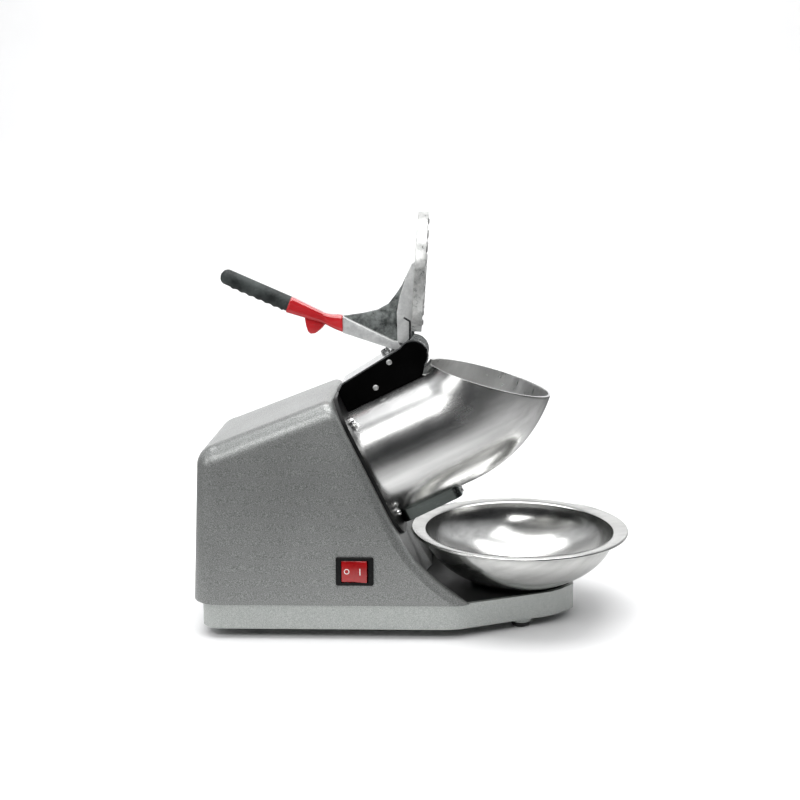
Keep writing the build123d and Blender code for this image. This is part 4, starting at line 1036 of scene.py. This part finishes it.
# %% Rivets and stop screw
rivet_radius, dome_flatness, cover_face = 0.0030, 0.42, 0.028
rivets = bmesh.new()
for x, z in ((-24.5, 274.8), (-38.3, 248.5)):
    for side in (-1, 1):
        seat = Vector((x / 1000, side * cover_face, z / 1000))
        before = set(rivets.verts)
        bmesh.ops.create_uvsphere(rivets, u_segments=24, v_segments=12, radius=rivet_radius)
        ball = [vertex for vertex in rivets.verts if vertex not in before]
        bmesh.ops.transform(
            rivets, verts=ball,
            matrix=facing(seat, across * side, (1, 0, 0)) @ Matrix.Diagonal((1, 1, dome_flatness, 1)),
        )
finished(rivets, "cover_rivets", "frame", "rivet_metal", plate_casting)

strap_slope = math.radians(6.0)
strap_turn = tilt + strap_slope
strap_up = Vector((-math.sin(strap_turn), 0.0, math.cos(strap_turn)))
strap_start, stop_station = 0.007, 0.060
strap_rise = 0.0895 + (stop_station - strap_start) * math.tan(strap_slope)
stop_seat = on_axis(stop_station, 0.0, strap_rise)
packed_stop = nodes["stop_screw"].data.vertices
stop_height = max((vertex.co - stop_seat).dot(strap_up) for vertex in packed_stop)
nut_radius, nut_height = 0.0048, 0.0032
stop = bmesh.new()
bmesh.ops.create_cone(
    stop, cap_ends=True, segments=6, radius1=nut_radius, radius2=nut_radius, depth=nut_height,
    matrix=facing(stop_seat + strap_up * nut_height / 2, strap_up),
)
rod(stop, stop_seat + strap_up * 0.002, stop_seat + strap_up * (stop_height - 0.003), 0.0024, 24)
rod(stop, stop_seat + strap_up * (stop_height - 0.0034), stop_seat + strap_up * stop_height, 0.0042, 28)
soften(stop, 0.0004, 2, 40.0)
finished(stop, "stop_screw", "frame", "chrome_screws", bright_plating)


# %% [markdown]
# ## Rocker switch
# The rocker is dished: two facets meet in a shallow valley, and it rests with its off side pressed in.
# Each facet carries the usual mark, a ring for off and a bar for on. The marks are thin raised
# prints on the facets, so they tilt with the rocker.

# %% Rocker and its marks
wall_lean = math.radians(3.0)
wall_normal = Vector((0.0, -math.cos(wall_lean), math.sin(wall_lean)))
rocker_joint = next(joint for joint in frame["joints"] if joint["name"] == "rocker_tilt")
rocker_pivot = Vector(rocker_joint["pos_m"])
rest_tilt = math.radians(7.0)
rocker_half_width, rocker_half_height, valley = 0.013, 0.011, 0.0035
off_mark, on_mark = -0.0075, 0.0060
rise = rocker_half_width * math.tan(rest_tilt)
rocker_frame = facing(rocker_pivot, wall_normal, (1, 0, 0)) @ Matrix.Rotation(-rest_tilt, 4, "Y")

rocker = bmesh.new()
section = [(-rocker_half_width, valley + rise), (0.0, valley), (rocker_half_width, valley + rise)]
section += [(rocker_half_width, -0.001), (0.0087, -0.006), (-0.0087, -0.006), (-rocker_half_width, -0.001)]
face = rocker.faces.new([rocker.verts.new((x, -rocker_half_height, z)) for x, z in section])
pushed = bmesh.ops.extrude_face_region(rocker, geom=[face])["geom"]
moved = [item for item in pushed if isinstance(item, bmesh.types.BMVert)]
bmesh.ops.translate(rocker, verts=moved, vec=(0, 2 * rocker_half_height, 0))
bmesh.ops.recalc_face_normals(rocker, faces=rocker.faces)
soften(rocker, 0.0008, 3, 5.0)


def on_facet(side, lift):
    """The middle of one facet, raised a little, with Z square to the facet."""
    reach = off_mark if side < 0 else on_mark
    place = Matrix.Translation((reach, 0, valley + abs(reach) * math.tan(rest_tilt)))
    return place @ Matrix.Rotation(-side * rest_tilt, 4, "Y") @ Matrix.Translation((0, 0, lift))


before = set(rocker.faces)
ring_edges = set()
for radius in (0.0027, 0.0020):
    circle = bmesh.ops.create_circle(rocker, segments=40, radius=radius, matrix=on_facet(-1, 0.00006))
    ring_edges.update(edge for vertex in circle["verts"] for edge in vertex.link_edges)
bmesh.ops.bridge_loops(rocker, edges=list(ring_edges))
bar_shape = Matrix.Diagonal((0.0009, 0.0066, 0.00012, 1.0))
bmesh.ops.create_cube(rocker, size=1.0, matrix=on_facet(1, 0.00004) @ bar_shape)
for face in new_faces(rocker, before):
    face.material_index = 1
bmesh.ops.transform(rocker, matrix=rocker_frame, verts=rocker.verts)
finished(rocker, "rocker", "rocker", "rocker_red", rocker_red, mark_white)


# %% [markdown]
# ## Blade screws
# Four low screws hold the two blades to the disc. They are the same head as before, only flatter.

# %% Blade screws
disc_centre = on_axis(0.067, 0.0, 0.0)
screw_reaches, screw_offset = (0.049, 0.019), 0.009
blade_seats = []
for turn in (0, math.pi):
    outward = across * math.cos(turn) + upward * math.sin(turn)
    sideways = along.cross(outward)
    for reach in screw_reaches:
        blade_seats.append((disc_centre + outward * reach - sideways * screw_offset, along))
screw_set("blade_screws", "cutter", "plated_screws", 0.0036, 0.0016, blade_seats)
